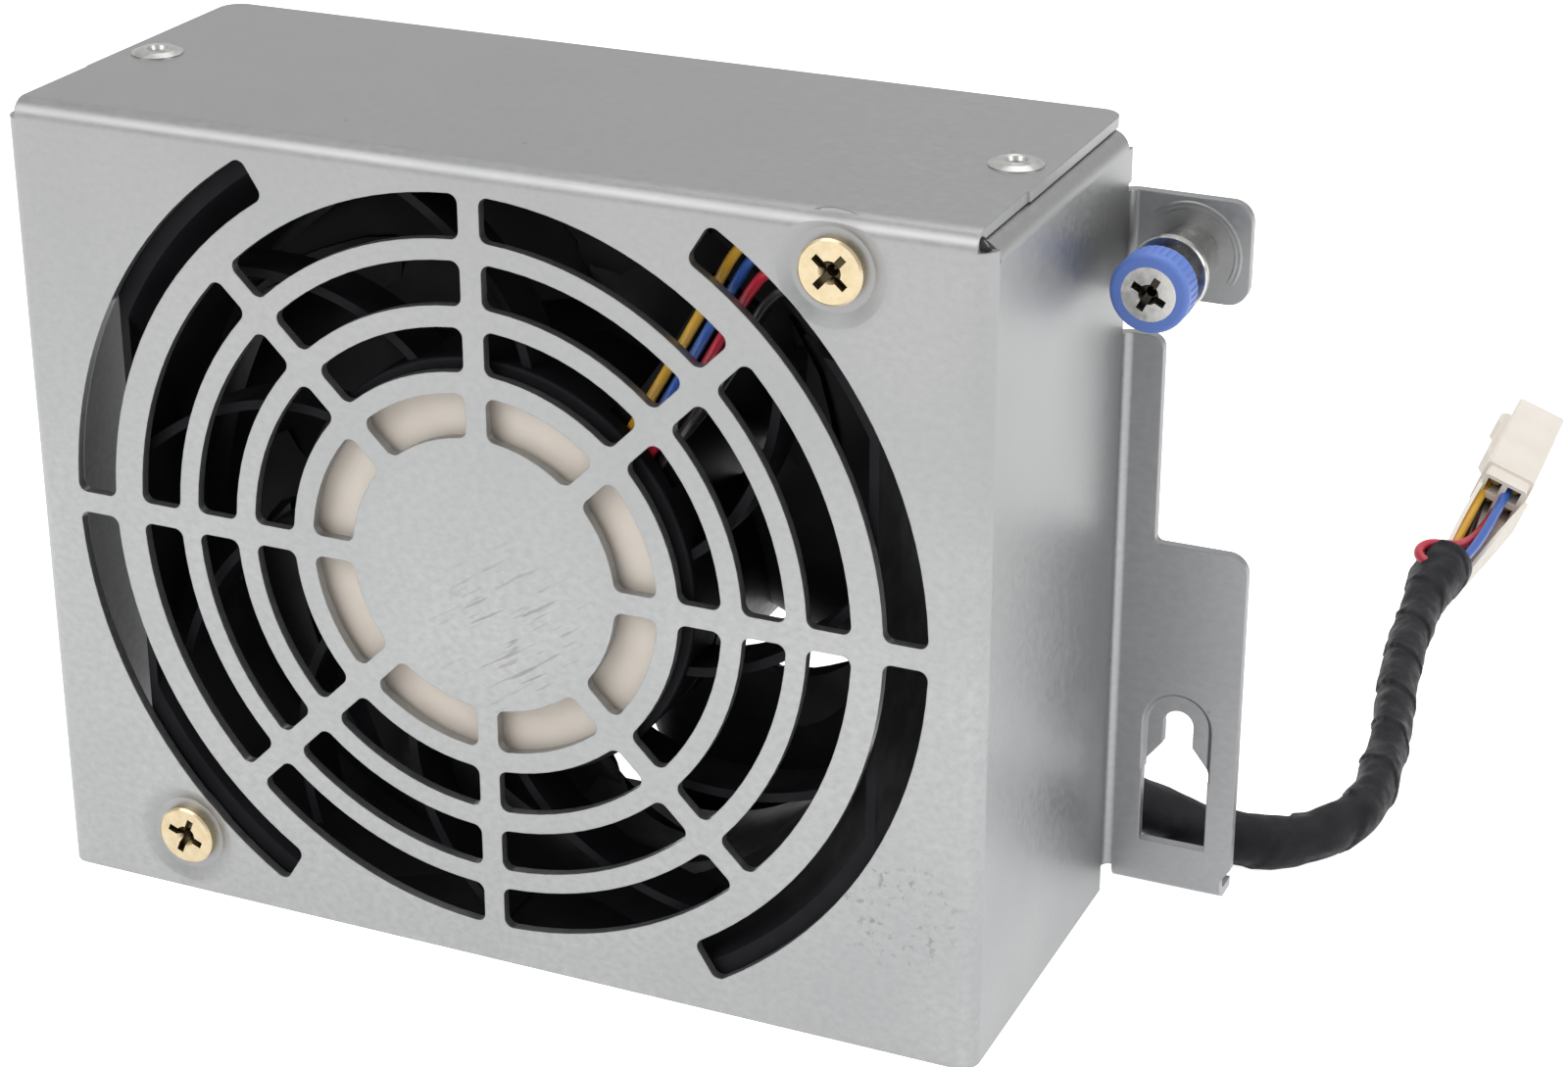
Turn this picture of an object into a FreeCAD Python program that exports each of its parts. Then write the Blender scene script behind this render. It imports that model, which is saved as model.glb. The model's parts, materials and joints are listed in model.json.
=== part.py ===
"""Server fan module: a 92 mm axial fan in a folded sheet-steel tray.

The tray is one blank: a pierced front panel, a top flange, two side panels with rivet
tabs, and a mounting flange behind the right side with a captive thumbscrew and a keyhole.
Millimetres. X runs along the front panel, Y into the tray and Z up. The origin is on the
bottom edge of the front panel's outer face, under the fan's axis.
"""
import FreeCAD, Part
import math
import os

V = FreeCAD.Vector
Y_AXIS = V(0, 1, 0)

# ---- Tray: folded sheet ------------------------------------------------------------
SHEET = 1.2
BEND_IN = 1.0
BEND_OUT = BEND_IN + SHEET
TRAY_HALF_W = 58.4
TRAY_H = 95.8
TRAY_D = 45.0
FOLD_GAP = 0.15
TOP_INSET = 1.4
TOP_STEP = 0.2
TOP_STEP_Y = 14.5
RELIEF_R = 0.85
TAB_W = 10.5
TAB_FRONT = 2.4
TAB_REAR = 42.5

# ---- Fan: the standard 92 mm frame --------------------------------------------------
FAN_SIZE = 92.0
FAN_PITCH = 82.5
FAN_DEPTH = 38.0
FAN_DROP = 0.2
FAN_Z = TRAY_H - SHEET - FAN_DROP - FAN_SIZE / 2
DIMPLE_DEPTH = 0.5
FAN_Y0 = SHEET + DIMPLE_DEPTH
FAN_Y1 = FAN_Y0 + FAN_DEPTH
FAN_FLANGE = 6.4
WIRE_WAY_DEPTH = 5.0
FAN_CORNER_R = 4.0
DUCT_R = 44.2
DUCT_WALL = 1.6
FLARE = 6.3
FLARE_DEPTH = 12.0
REAR_FLARE_DEPTH = 6.0
FRAME_WALL = 1.1
BOSS_R = 4.2
POCKET_IN = 24.0
FAN_HOLE_R = 2.15

# ---- Grille ------------------------------------------------------------------------
SLOT_W = 5.1
SLOT_RADII = [18.75, 26.3, 33.8, 41.25]
OUTER_SLOT_R = 49.9
OUTER_SLOT_END = 58.0
SPOKES = 8
SPOKE_W = 2.5
SLOT_FILLET = 1.1

# ---- Dimples and fan screws ---------------------------------------------------------
DIMPLE_R = 6.1
DIMPLE_FLAT_R = 4.6
FAN_SCREW_R = 2.1
FAN_SCREW_HEAD_R = 3.6
FAN_SCREW_HEAD_H = 1.0
FAN_SCREW_LEN = 9.0

# ---- Rivets ------------------------------------------------------------------------
RIVET_X = TRAY_HALF_W - 5.8
RIVET_Y = 22.3
RIVET_R = 1.6
RIVET_FLANGE_R = 3.0
RIVET_FLANGE_H = 0.65

# ---- Mounting flange behind the right side -------------------------------------------
FLANGE_X = TRAY_HALF_W + 15.5
STRIP_X = TRAY_HALF_W + 4.5
UPPER_TAB_X = TRAY_HALF_W + 13.8
LOWER_Z0 = 1.1
LOWER_Z1 = 45.8
UPPER_Z1 = TRAY_H - 8.3
UPPER_Z0 = UPPER_Z1 - 11.9
STRIP_Z1 = UPPER_Z0 - 4.8
FLANGE_CORNER_R = 2.4
LIP_LEN = 3.4
LIP_SET_IN = 1.2

# ---- Keyhole -------------------------------------------------------------------------
KEY_X = TRAY_HALF_W + 8.2
KEY_TOP_Z = 23.0
KEY_SLOT_R = 1.82
KEY_SLOT_Z0 = 20.4
KEY_HALF_W = 4.0
KEY_WIDE_Z1 = 17.6
KEY_Z0 = 7.5
KEY_STEP = 0.6

# ---- Captive thumbscrew ---------------------------------------------------------------
THUMB_X = TRAY_HALF_W + 6.9
THUMB_Z = UPPER_Z1 - 6.55
THREAD_R = 1.75
FERRULE_R = 3.4
FERRULE_BORE_R = 2.65
FERRULE_RIM_R = 4.4
FERRULE_RIM_H = 0.8
FERRULE_LEN = 7.7
FERRULE_CLINCH_R = 3.9
FERRULE_CLINCH_H = 0.6
FERRULE_WALL = 1.2
KNOB_R = 4.45
KNOB_LEN = 3.8
KNOB_GAP = 3.0
KNURLS = 36
INSERT_R = 3.05
NECK_R = 2.3
WASHER_H = 0.5
RUN_GAP = 0.05
SPRING_WIRE = 0.36

# ---- Hub, struts and motor -------------------------------------------------------------
LABEL_R = 22.4
LABEL_T = 0.2
LABEL_GAP = 0.8
HUB_WALL = 1.5
HUB_R = LABEL_R + LABEL_GAP + HUB_WALL
HUB_RECESS = 0.5
HUB_DEPTH = 7.0
HUB_EDGE = 0.4
STRUTS = 11
STRUT_T = 1.1
STRUT_DEPTH = 6.0
STRUT_SWEEP = 28.0
WIRE_STRUT_ANGLE = 45.0
WIRE_EXIT_TURN = 2.0
WIRE_EXIT_HALF = 5.4
BOARD_T = 1.2
BOARD_GAP = 0.6
CHIP_L = 5.0
CHIP_W = 6.0
CHIP_H = 1.4
CAP_R = 2.4
CAP_H = 2.4
SLEEVE_R = 5.2
SLEEVE_WALL = 1.2
BEARING_H = 4.0
CORE_H = 9.0
COIL_H = 13.0
SHOE_T = 2.0
AIR_GAP = 0.6
MAGNET_T = 3.0
YOKE_T = 1.1
SHAFT_R = 2.0
CLIP_T = 0.5
ROTOR_GAP = 1.0
ROTOR_R = HUB_R
ROTOR_WALL = 1.5
CORE_R = ROTOR_R - ROTOR_WALL - YOKE_T - MAGNET_T - AIR_GAP
BLADES = 7
TIP_GAP = 0.9
BLADE_PHASE = 48.0
BLADE_SWEEP_MID = 14.0
BLADE_SWEEP_TIP = 7.0
BLADE_T = 1.5

# ---- Cable -----------------------------------------------------------------------------
CABLE_R = 2.8
WIRE_R = 0.6
CABLE_ROUTE = [
    (51.6, 9.0, 73.5), (51.6, 12.5, 63.5), (51.6, 17.6, 53.4), (51.6, 23.8, 43.2),
    (51.6, 31.0, 32.5), (51.8, 37.8, 22.6), (53.2, 44.6, 14.8), (57.2, 49.6, 9.6),
    (62.3, 53.0, 6.2), (69.0, 54.6, 3.6), (76.2, 57.2, 2.9), (81.7, 63.3, 2.9),
    (83.6, 71.8, 2.9), (82.8, 81.5, 2.9), (81.0, 93.3, 2.9), (78.6, 105.3, 2.9),
    (76.8, 118.0, 2.9), (75.7, 131.2, 2.9), (75.5, 144.5, 2.9),
]
WIRE_NAMES = ["yellow", "blue", "red", "black"]
WIRE_SPREAD = 1.05
TAIL_GAP = 0.15

# Leads from the board to the cable: X and Z from the fan's axis, Y in the part's frame.
LEAD_ROUTES = {
    "yellow": [(13.2, 5.3, 13.6), (18.7, 5.3, 22.6), (24.2, 5.0, 32.2), (28.7, 4.2, 40.2),
               (31.6, 3.5, 43.2), (35.6, 3.5, 42.0), (37.9, 3.5, 38.0), (43.0, 3.5, 36.2),
               (49.0, 3.9, 35.2)],
    "blue": [(14.4, 5.3, 12.6), (20.0, 5.3, 21.6), (25.5, 5.0, 31.2), (29.8, 4.9, 38.8),
             (32.4, 4.8, 41.8), (35.6, 4.8, 41.5), (37.9, 4.8, 38.2), (42.8, 4.8, 35.8),
             (49.0, 5.6, 34.2)],
    "red": [(15.6, 5.3, 11.6), (21.4, 5.3, 20.8), (26.9, 5.0, 30.4), (30.5, 4.3, 36.3),
            (32.6, 3.6, 38.9), (35.4, 3.5, 39.4), (37.3, 3.5, 37.2), (39.4, 3.5, 34.6),
            (43.2, 3.5, 33.9), (48.2, 3.9, 33.1)],
    "black": [(16.8, 5.3, 10.6), (23.0, 5.3, 20.0), (28.6, 5.0, 29.3), (31.9, 4.9, 34.9),
              (34.1, 4.8, 37.0), (36.7, 4.8, 36.3), (38.9, 4.8, 33.5), (42.8, 4.8, 32.6),
              (48.2, 5.6, 32.9)],
}
LEAD_SIDES = {"yellow": (1, -1), "blue": (1, 1), "red": (-1, -1), "black": (-1, 1)}

# Tails from the cable to the plug: start offset (X, Z), then (share of the way, X, Z) bows,
# then the cavity's side and level in the plug.
TAIL_ROUTES = {
    "yellow": [(-1.6, 0.5), (0.30, -1.2, 0.2), (0.63, -1.7, 0.7), (-1, 1)],
    "blue": [(1.6, 0.4), (0.30, 0.2, -0.6), (0.63, -0.1, -0.2), (1, 1)],
    "red": [(0.0, 1.6), (0.31, -0.3, 0.35), (0.64, -0.3, 0.2), (1, -1)],
    "black": [(0.0, -1.4), (0.31, -0.1, -0.95), (0.64, -0.2, -0.6), (-1, -1)],
}

# ---- Connector ---------------------------------------------------------------------------
PLUG_W = 7.6
PLUG_H = 7.2
PLUG_LEN = 31.0
PLUG_SKIRT = 3.6
PLUG_X = 76.7
PLUG_Y = 167.0
PLUG_TURN = 2.4
PLUG_ROLL = 21.0
CAVITY = 2.2
CAVITY_PITCH = 3.1
KEY_RIB_W = 1.2

REPORT = []


def save(shape, name):
    """Write one sub-part after a check of its solids."""
    shape = shape.removeSplitter()
    if not shape.isValid() or shape.Volume <= 0:
        print("BAD", name, shape.isValid(), shape.Volume)
    REPORT.append((name, round(shape.Volume, 2), len(shape.Solids), len(shape.Faces)))
    shape.exportStep("parts/%s.step" % name)


def box(x0, x1, y0, y1, z0, z1):
    return Part.makeBox(x1 - x0, y1 - y0, z1 - z0, V(x0, y0, z0))


def cyl_y(radius, y0, y1, x=0.0, z=FAN_Z):
    return Part.makeCylinder(radius, y1 - y0, V(x, y0, z), Y_AXIS)


def ring_y(outer, inner, y0, y1, x=0.0, z=FAN_Z):
    return cyl_y(outer, y0, y1, x, z).cut(cyl_y(inner, y0 - 1, y1 + 1, x, z))


def cone_y(r0, r1, y0, y1, x=0.0, z=FAN_Z):
    return Part.makeCone(r0, r1, y1 - y0, V(x, y0, z), Y_AXIS)


def prism(points, direction):
    """Closed polygon of 3-D points, extruded along direction."""
    wire = Part.makePolygon([V(*p) for p in points] + [V(*points[0])])
    return Part.Face(wire).extrude(V(*direction))


def edges_along(shape, axis, test=None):
    """Straight edges parallel to an axis, filtered by their midpoint."""
    found = []
    for edge in shape.Edges:
        if edge.Curve.TypeId != "Part::GeomLine":
            continue
        way = edge.Vertexes[1].Point.sub(edge.Vertexes[0].Point)
        if abs(abs(way.normalize().dot(axis)) - 1) > 1e-6:
            continue
        if test is None or test(edge.CenterOfMass):
            found.append(edge)
    return found


def revolve_y(profile, z=FAN_Z, x=0.0):
    """Revolve (radius, y) points about the line along Y through (x, z)."""
    wire = Part.makePolygon([V(x + r, y, z) for r, y in profile] + [V(x + profile[0][0], profile[0][1], z)])
    return Part.Face(wire).revolve(V(x, 0, z), Y_AXIS, 360)


# ---- Tray ------------------------------------------------------------------------------

def bend(centre, axis, inner, outer, length, quadrant):
    """Quarter of a tube about a line through centre; quadrant holds two signs."""
    tube = Part.makeCylinder(outer, length, centre, axis)
    tube = tube.cut(Part.makeCylinder(inner, length, centre, axis))
    reach = outer + 1
    if abs(axis.x) > 0.5:
        corner = V(centre.x, centre.y + min(0, quadrant[0]) * reach, centre.z + min(0, quadrant[1]) * reach)
        keep = Part.makeBox(length, reach, reach, corner)
    elif abs(axis.y) > 0.5:
        corner = V(centre.x + min(0, quadrant[0]) * reach, centre.y, centre.z + min(0, quadrant[1]) * reach)
        keep = Part.makeBox(reach, length, reach, corner)
    else:
        corner = V(centre.x + min(0, quadrant[0]) * reach, centre.y + min(0, quadrant[1]) * reach, centre.z)
        keep = Part.makeBox(reach, reach, length, corner)
    return tube.common(keep)


def front_panel():
    wide = TRAY_HALF_W - BEND_OUT
    return box(-wide, wide, 0, SHEET, 0, TRAY_H - BEND_OUT)


def side_panel(sign):
    """Side wall with its front bend, its rivet tab folded in under the top flange."""
    top = TRAY_H - SHEET - FOLD_GAP
    bend_x = sign * (TRAY_HALF_W - BEND_OUT)
    wall_z1 = top - BEND_OUT
    rear = TRAY_D - BEND_OUT if sign > 0 else TRAY_D
    x_out = sign * TRAY_HALF_W
    x_in = sign * (TRAY_HALF_W - SHEET)
    wall = box(min(x_in, x_out), max(x_in, x_out), BEND_OUT, rear, 0, wall_z1)
    if sign > 0:
        flat = box(x_in, x_out, rear, TRAY_D - SHEET, UPPER_Z1 + RELIEF_R, wall_z1)
        wall = wall.fuse(flat)
    front = bend(V(bend_x, BEND_OUT, 0), V(0, 0, 1), BEND_IN, BEND_OUT, wall_z1 + 1.4, (sign, -1))
    fold = bend(V(bend_x, TAB_FRONT, wall_z1), Y_AXIS, BEND_IN, BEND_OUT, TAB_REAR - TAB_FRONT, (sign, 1))
    tab_x = sign * (TRAY_HALF_W - BEND_OUT - TAB_W)
    tab = box(min(tab_x, bend_x), max(tab_x, bend_x), TAB_FRONT, TAB_REAR, top - SHEET, top)
    inner_corner = edges_along(tab, V(0, 0, 1), lambda p: abs(p.x - tab_x) < 0.01)
    tab = tab.makeFillet(2.0, inner_corner)
    return wall.fuse([front, fold, tab])


def top_flange():
    """Top wall with its front bend; its cut edges stand just inside the side walls."""
    half = TRAY_HALF_W - TOP_INSET
    narrow = half - TOP_STEP
    fold = bend(V(-narrow, BEND_OUT, TRAY_H - BEND_OUT), V(1, 0, 0), BEND_IN, BEND_OUT, 2 * narrow, (-1, 1))
    lead_in = box(-narrow, narrow, BEND_OUT, TOP_STEP_Y, TRAY_H - SHEET, TRAY_H)
    flat = box(-half, half, TOP_STEP_Y, TRAY_D, TRAY_H - SHEET, TRAY_H)
    rear_corners = edges_along(flat, V(0, 0, 1), lambda p: p.y > TRAY_D - 1)
    flat = flat.makeFillet(2.6, rear_corners)
    return fold.fuse([lead_in, flat])


def mounting_flange():
    """Plate bent out of the right wall: upper tab, narrow strip, wide lower plate."""
    y0 = TRAY_D - SHEET
    x0 = TRAY_HALF_W + BEND_IN
    upper = box(x0, UPPER_TAB_X, y0, TRAY_D, UPPER_Z0, UPPER_Z1)
    upper = upper.makeFillet(FLANGE_CORNER_R, edges_along(upper, Y_AXIS, lambda p: p.x > x0 + 1))
    outline = [
        (x0, y0, LOWER_Z0 + BEND_OUT), (FLANGE_X - LIP_SET_IN, y0, LOWER_Z0 + BEND_OUT),
        (FLANGE_X - LIP_SET_IN, y0, LOWER_Z0 + BEND_OUT + 0.5),
        (FLANGE_X, y0, LOWER_Z0 + BEND_OUT + 0.5 + 1.6 * LIP_SET_IN),
        (FLANGE_X, y0, LOWER_Z1), (STRIP_X, y0, LOWER_Z1), (STRIP_X, y0, STRIP_Z1), (x0, y0, STRIP_Z1),
    ]
    lower = prism(outline, (0, SHEET, 0))
    outer = edges_along(lower, Y_AXIS, lambda p: p.x > FLANGE_X - 0.1 and p.z > LOWER_Z1 - 1)
    lower = lower.makeFillet(FLANGE_CORNER_R, outer)
    strip_top = edges_along(lower, Y_AXIS, lambda p: abs(p.x - STRIP_X) < 0.1 and p.z > STRIP_Z1 - 1)
    lower = lower.makeFillet(1.6, strip_top)
    inside = edges_along(lower, Y_AXIS, lambda p: abs(p.x - STRIP_X) < 0.1 and abs(p.z - LOWER_Z1) < 0.1)
    lower = lower.makeFillet(0.8, inside)
    centre = V(TRAY_HALF_W + BEND_IN, TRAY_D - BEND_OUT, LOWER_Z0 + BEND_OUT)
    fold_low = bend(centre, V(0, 0, 1), BEND_IN, BEND_OUT, STRIP_Z1 - centre.z, (-1, 1))
    centre = V(TRAY_HALF_W + BEND_IN, TRAY_D - BEND_OUT, UPPER_Z0)
    fold_up = bend(centre, V(0, 0, 1), BEND_IN, BEND_OUT, UPPER_Z1 - UPPER_Z0, (-1, 1))
    return lower.fuse([upper, fold_low, fold_up, flange_lip()])


def flange_lip():
    """Stiffening lip along the bottom of the lower plate, turned to the rear."""
    x0 = TRAY_HALF_W + BEND_IN
    length = FLANGE_X - LIP_SET_IN - x0
    axis_y = TRAY_D + BEND_IN
    axis_z = LOWER_Z0 + BEND_OUT
    fold = bend(V(x0, axis_y, axis_z), V(1, 0, 0), BEND_IN, BEND_OUT, length, (-1, -1))
    lip = box(x0, x0 + length, axis_y, TRAY_D + LIP_LEN, LOWER_Z0, LOWER_Z0 + SHEET)
    return fold.fuse(lip)


def keyhole_outline(grow, y):
    """Keyhole: a round-topped slot over a wide square hole, joined by sloped shoulders."""
    slot = KEY_SLOT_R + grow
    wide = KEY_HALF_W + grow
    arc = Part.Arc(V(KEY_X + slot, y, KEY_TOP_Z), V(KEY_X, y, KEY_TOP_Z + slot), V(KEY_X - slot, y, KEY_TOP_Z))
    left = [(-slot, KEY_TOP_Z), (-slot, KEY_SLOT_Z0), (-wide, KEY_WIDE_Z1), (-wide, KEY_Z0 - grow)]
    points = [V(KEY_X + x, y, z) for x, z in left]
    points += [V(2 * KEY_X - p.x, y, p.z) for p in reversed(points)]
    return Part.Face(Part.Wire([arc.toShape()] + Part.makePolygon(points).Edges))


def step_outline(radius, y):
    """Round-topped panel set back about the keyhole's slot."""
    top = V(KEY_X, y, KEY_TOP_Z + radius)
    arc = Part.Arc(V(KEY_X + radius, y, KEY_TOP_Z), top, V(KEY_X - radius, y, KEY_TOP_Z))
    low = KEY_WIDE_Z1 - 1.0
    points = [V(KEY_X - radius, y, KEY_TOP_Z), V(KEY_X - radius, y, low), V(KEY_X + radius, y, low)]
    points.append(V(KEY_X + radius, y, KEY_TOP_Z))
    return Part.Wire([arc.toShape()] + Part.makePolygon(points).Edges)


def set_back(y, outer, inner):
    """Tapered slab between two step outlines, KEY_STEP deep."""
    return Part.makeLoft([step_outline(outer, y), step_outline(inner, y + KEY_STEP)], True, True)


def slot_sector(radius, start, end, spoke_at_start=True, spoke_at_end=True):
    """One grille slot: part of a ring, trimmed by the spokes, with rounded corners."""
    inner = radius - SLOT_W / 2
    outer = radius + SLOT_W / 2
    half = SPOKE_W / 2
    corners = []
    for r, angle, trimmed, side in ((inner, start, spoke_at_start, 1), (outer, start, spoke_at_start, 1),
                                    (outer, end, spoke_at_end, -1), (inner, end, spoke_at_end, -1)):
        shift = side * math.degrees(math.asin(half / r)) if trimmed else 0.0
        a = math.radians(angle + shift)
        corners.append((r, a))
    points = [V(r * math.cos(a), -1, FAN_Z + r * math.sin(a)) for r, a in corners]

    def arc(first, last):
        r, a0 = corners[first]
        a1 = corners[last][1]
        mid = (a0 + a1) / 2
        middle = V(r * math.cos(mid), -1, FAN_Z + r * math.sin(mid))
        return Part.Arc(points[first], middle, points[last]).toShape()

    edges = [Part.makeLine(points[0], points[1]), arc(1, 2), Part.makeLine(points[2], points[3]), arc(3, 0)]
    solid = Part.Face(Part.Wire(edges)).extrude(V(0, SHEET + 2, 0))
    return solid.makeFillet(SLOT_FILLET, edges_along(solid, Y_AXIS))


def grille_slots():
    slots = []
    step = 360.0 / SPOKES
    for radius in SLOT_RADII:
        for i in range(SPOKES):
            slots.append(slot_sector(radius, i * step, (i + 1) * step))
    for base in (0.0, 180.0):
        slots.append(slot_sector(OUTER_SLOT_R, base, base + OUTER_SLOT_END, True, False))
        slots.append(slot_sector(OUTER_SLOT_R, base - OUTER_SLOT_END, base, False, True))
    return slots


def screw_places():
    """Fan screw axes: upper right and lower left."""
    half = FAN_PITCH / 2
    return [("upper", half, FAN_Z + half), ("lower", -half, FAN_Z - half)]


def corner_relief(sign):
    """Round relief where the top and side bends meet at the front corner."""
    way = V(sign * 1.0, -1.0, 1.0)
    centre = V(sign * (TRAY_HALF_W - BEND_OUT + 0.95), BEND_OUT - 0.95, TRAY_H - BEND_OUT + 0.7)
    start = centre.sub(V(way).multiply(0.6))
    return Part.makeCylinder(RELIEF_R, 6, start, way)


def tray():
    shape = front_panel().fuse([side_panel(1), side_panel(-1), top_flange(), mounting_flange()])
    for name, x, z in screw_places():
        boss = cone_y(DIMPLE_R + 0.3, DIMPLE_FLAT_R + 0.3, SHEET, FAN_Y0, x, z)
        shape = shape.fuse(boss)
        shape = shape.cut(cone_y(DIMPLE_R, DIMPLE_FLAT_R, 0, DIMPLE_DEPTH, x, z))
        shape = shape.cut(cyl_y(FAN_SCREW_R + 0.1, -1, FAN_Y0 + 1, x, z))
    shape = shape.cut(grille_slots())
    back = set_back(TRAY_D - 0.001, KEY_HALF_W + 0.6, KEY_HALF_W + 0.1)
    shape = shape.fuse(back)
    shape = shape.cut(set_back(TRAY_D - SHEET, KEY_HALF_W + 0.2, KEY_HALF_W - 0.3))
    key = keyhole_outline(0.0, TRAY_D - 3).extrude(V(0, 6, 0))
    shape = shape.cut(key)
    shape = shape.cut(cyl_y(FERRULE_R - 0.5, TRAY_D - 3, TRAY_D + 1, THUMB_X, THUMB_Z))
    for sign in (-1, 1):
        shape = shape.cut(corner_relief(sign))
        shape = shape.cut(Part.makeCylinder(RIVET_R, 6, V(sign * RIVET_X, RIVET_Y, TRAY_H - 5)))
    return shape


def rivet(sign):
    """Blind rivet: thin flange outside, body through both sheets, swelled tail inside."""
    x = sign * RIVET_X
    tail_z = TRAY_H - 2 * SHEET - FOLD_GAP
    profile = [
        (0, TRAY_H + 0.1), (1.0, TRAY_H + 0.1), (1.2, TRAY_H + RIVET_FLANGE_H - 0.1),
        (1.5, TRAY_H + RIVET_FLANGE_H), (2.2, TRAY_H + 0.5), (RIVET_FLANGE_R, TRAY_H + 0.14),
        (RIVET_FLANGE_R, TRAY_H), (RIVET_R, TRAY_H), (RIVET_R, tail_z),
        (2.1, tail_z - 0.4), (2.1, tail_z - 1.1), (1.3, tail_z - 2.0), (0, tail_z - 2.0),
    ]
    points = [V(x + r, RIVET_Y, z) for r, z in profile]
    return Part.Face(Part.makePolygon(points + [points[0]])).revolve(V(x, RIVET_Y, 0), V(0, 0, 1), 360)


def cross_recess(x, z, y, span, width, depth):
    """Cross recess of a Phillips head, tapered to a point below."""
    arms = box(x - span, x + span, y - 1, y + depth * 0.55, z - width, z + width)
    arms = arms.fuse(box(x - width, x + width, y - 1, y + depth * 0.55, z - span, z + span))
    return arms.fuse(cone_y(span * 0.55, 0.15, y - 0.01, y + depth, x, z))


def turned(shape, x, z, angle):
    shape.rotate(V(x, 0, z), Y_AXIS, angle)
    return shape


def fan_screw(x, z, angle):
    """Flat-head screw: dished flat head in the dimple, threaded shank in the fan's corner."""
    y_seat = DIMPLE_DEPTH
    y_top = y_seat - FAN_SCREW_HEAD_H
    profile = [
        (0, y_top), (FAN_SCREW_HEAD_R - 0.25, y_top), (FAN_SCREW_HEAD_R, y_top + 0.2),
        (FAN_SCREW_HEAD_R, y_seat), (FAN_SCREW_R - 0.25, y_seat),
    ]
    y = y_seat + 1.0
    while y < y_seat + FAN_SCREW_LEN - 1.2:
        profile += [(FAN_SCREW_R - 0.25, y), (FAN_SCREW_R, y + 0.25), (FAN_SCREW_R - 0.25, y + 0.5)]
        y += 0.8
    profile += [(FAN_SCREW_R - 0.4, y_seat + FAN_SCREW_LEN - 0.8), (0.3, y_seat + FAN_SCREW_LEN)]
    profile.append((0, y_seat + FAN_SCREW_LEN))
    shape = revolve_y(profile, z, x)
    return shape.cut(turned(cross_recess(x, z, y_top, 2.3, 0.42, 1.7), x, z, angle))


# ---- Fan frame ------------------------------------------------------------------------------

def strut_profile(start_angle, y0, y1, thickness, sweep):
    """Curved strut from the hub rim to the duct wall, swept round as it goes out."""
    steps = 6
    left = []
    right = []
    r0 = HUB_R - 1.2
    r1 = DUCT_R + 0.8
    for i in range(steps + 1):
        r = r0 + (r1 - r0) * i / steps
        a = math.radians(start_angle + sweep * (i / steps) ** 1.15)
        lean = math.atan2(r * math.radians(sweep), r1 - r0)
        side = V(-math.sin(a + lean), 0, math.cos(a + lean)).multiply(thickness / 2)
        centre = V(r * math.cos(a), y0, FAN_Z + r * math.sin(a))
        left.append(centre.add(side))
        right.append(centre.sub(side))
    first = Part.BSplineCurve()
    first.interpolate(left)
    second = Part.BSplineCurve()
    second.interpolate(right)
    ends = [Part.makeLine(left[-1], right[-1]), Part.makeLine(right[0], left[0])]
    edges = [first.toShape(), ends[0], second.toShape(), ends[1]]
    return Part.Face(Part.Wire(Part.__sortEdges__(edges))).extrude(V(0, y1 - y0, 0))


def flare(extra=0.0):
    """Cones that open the duct out to the front and rear faces."""
    wide = DUCT_R + FLARE + extra
    narrow = DUCT_R + extra
    front = cone_y(wide, narrow, FAN_Y0, FAN_Y0 + FLARE_DEPTH)
    return front.fuse(cone_y(narrow, wide, FAN_Y1 - REAR_FLARE_DEPTH, FAN_Y1))


def corner_pocket(sx, sz):
    """Moulding pocket cored out from the rear, between the duct, the walls and the screw boss."""
    far = FAN_SIZE / 2 - FRAME_WALL
    x0, x1 = sorted((sx * POCKET_IN, sx * far))
    z0, z1 = sorted((sz * POCKET_IN, sz * far))
    pocket = box(x0, x1, FAN_Y0 + FAN_FLANGE, FAN_Y1 + 1, FAN_Z + z0, FAN_Z + z1)
    pocket = pocket.makeFillet(FAN_CORNER_R - FRAME_WALL, edges_along(pocket, Y_AXIS))
    duct = cyl_y(DUCT_R + DUCT_WALL, FAN_Y0, FAN_Y1 + 2).fuse(flare(DUCT_WALL))
    boss = cyl_y(BOSS_R, FAN_Y0, FAN_Y1 + 2, sx * FAN_PITCH / 2, FAN_Z + sz * FAN_PITCH / 2)
    return pocket.cut([duct, boss])


def wire_way():
    """Notch across the upper right corner of the front flange, out to the side."""
    half = FAN_SIZE / 2
    screw = FAN_PITCH / 2
    points = [
        (25.0, half - 1.4), (25.0, 36.0), (33.0, 28.5), (38.5, 31.4), (half + 1, 30.2),
        (half + 1, screw - 3.85), (screw + 0.6, screw - 3.0), (screw - 1.7, screw - 2.5), (screw - 3.0, screw - 0.6),
        (screw - 3.0, screw + 1.8), (36.0, half - 1.4),
    ]
    return prism([(x, FAN_Y0 - 1, FAN_Z + z) for x, z in points], (0, 1 + WIRE_WAY_DEPTH, 0))


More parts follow.
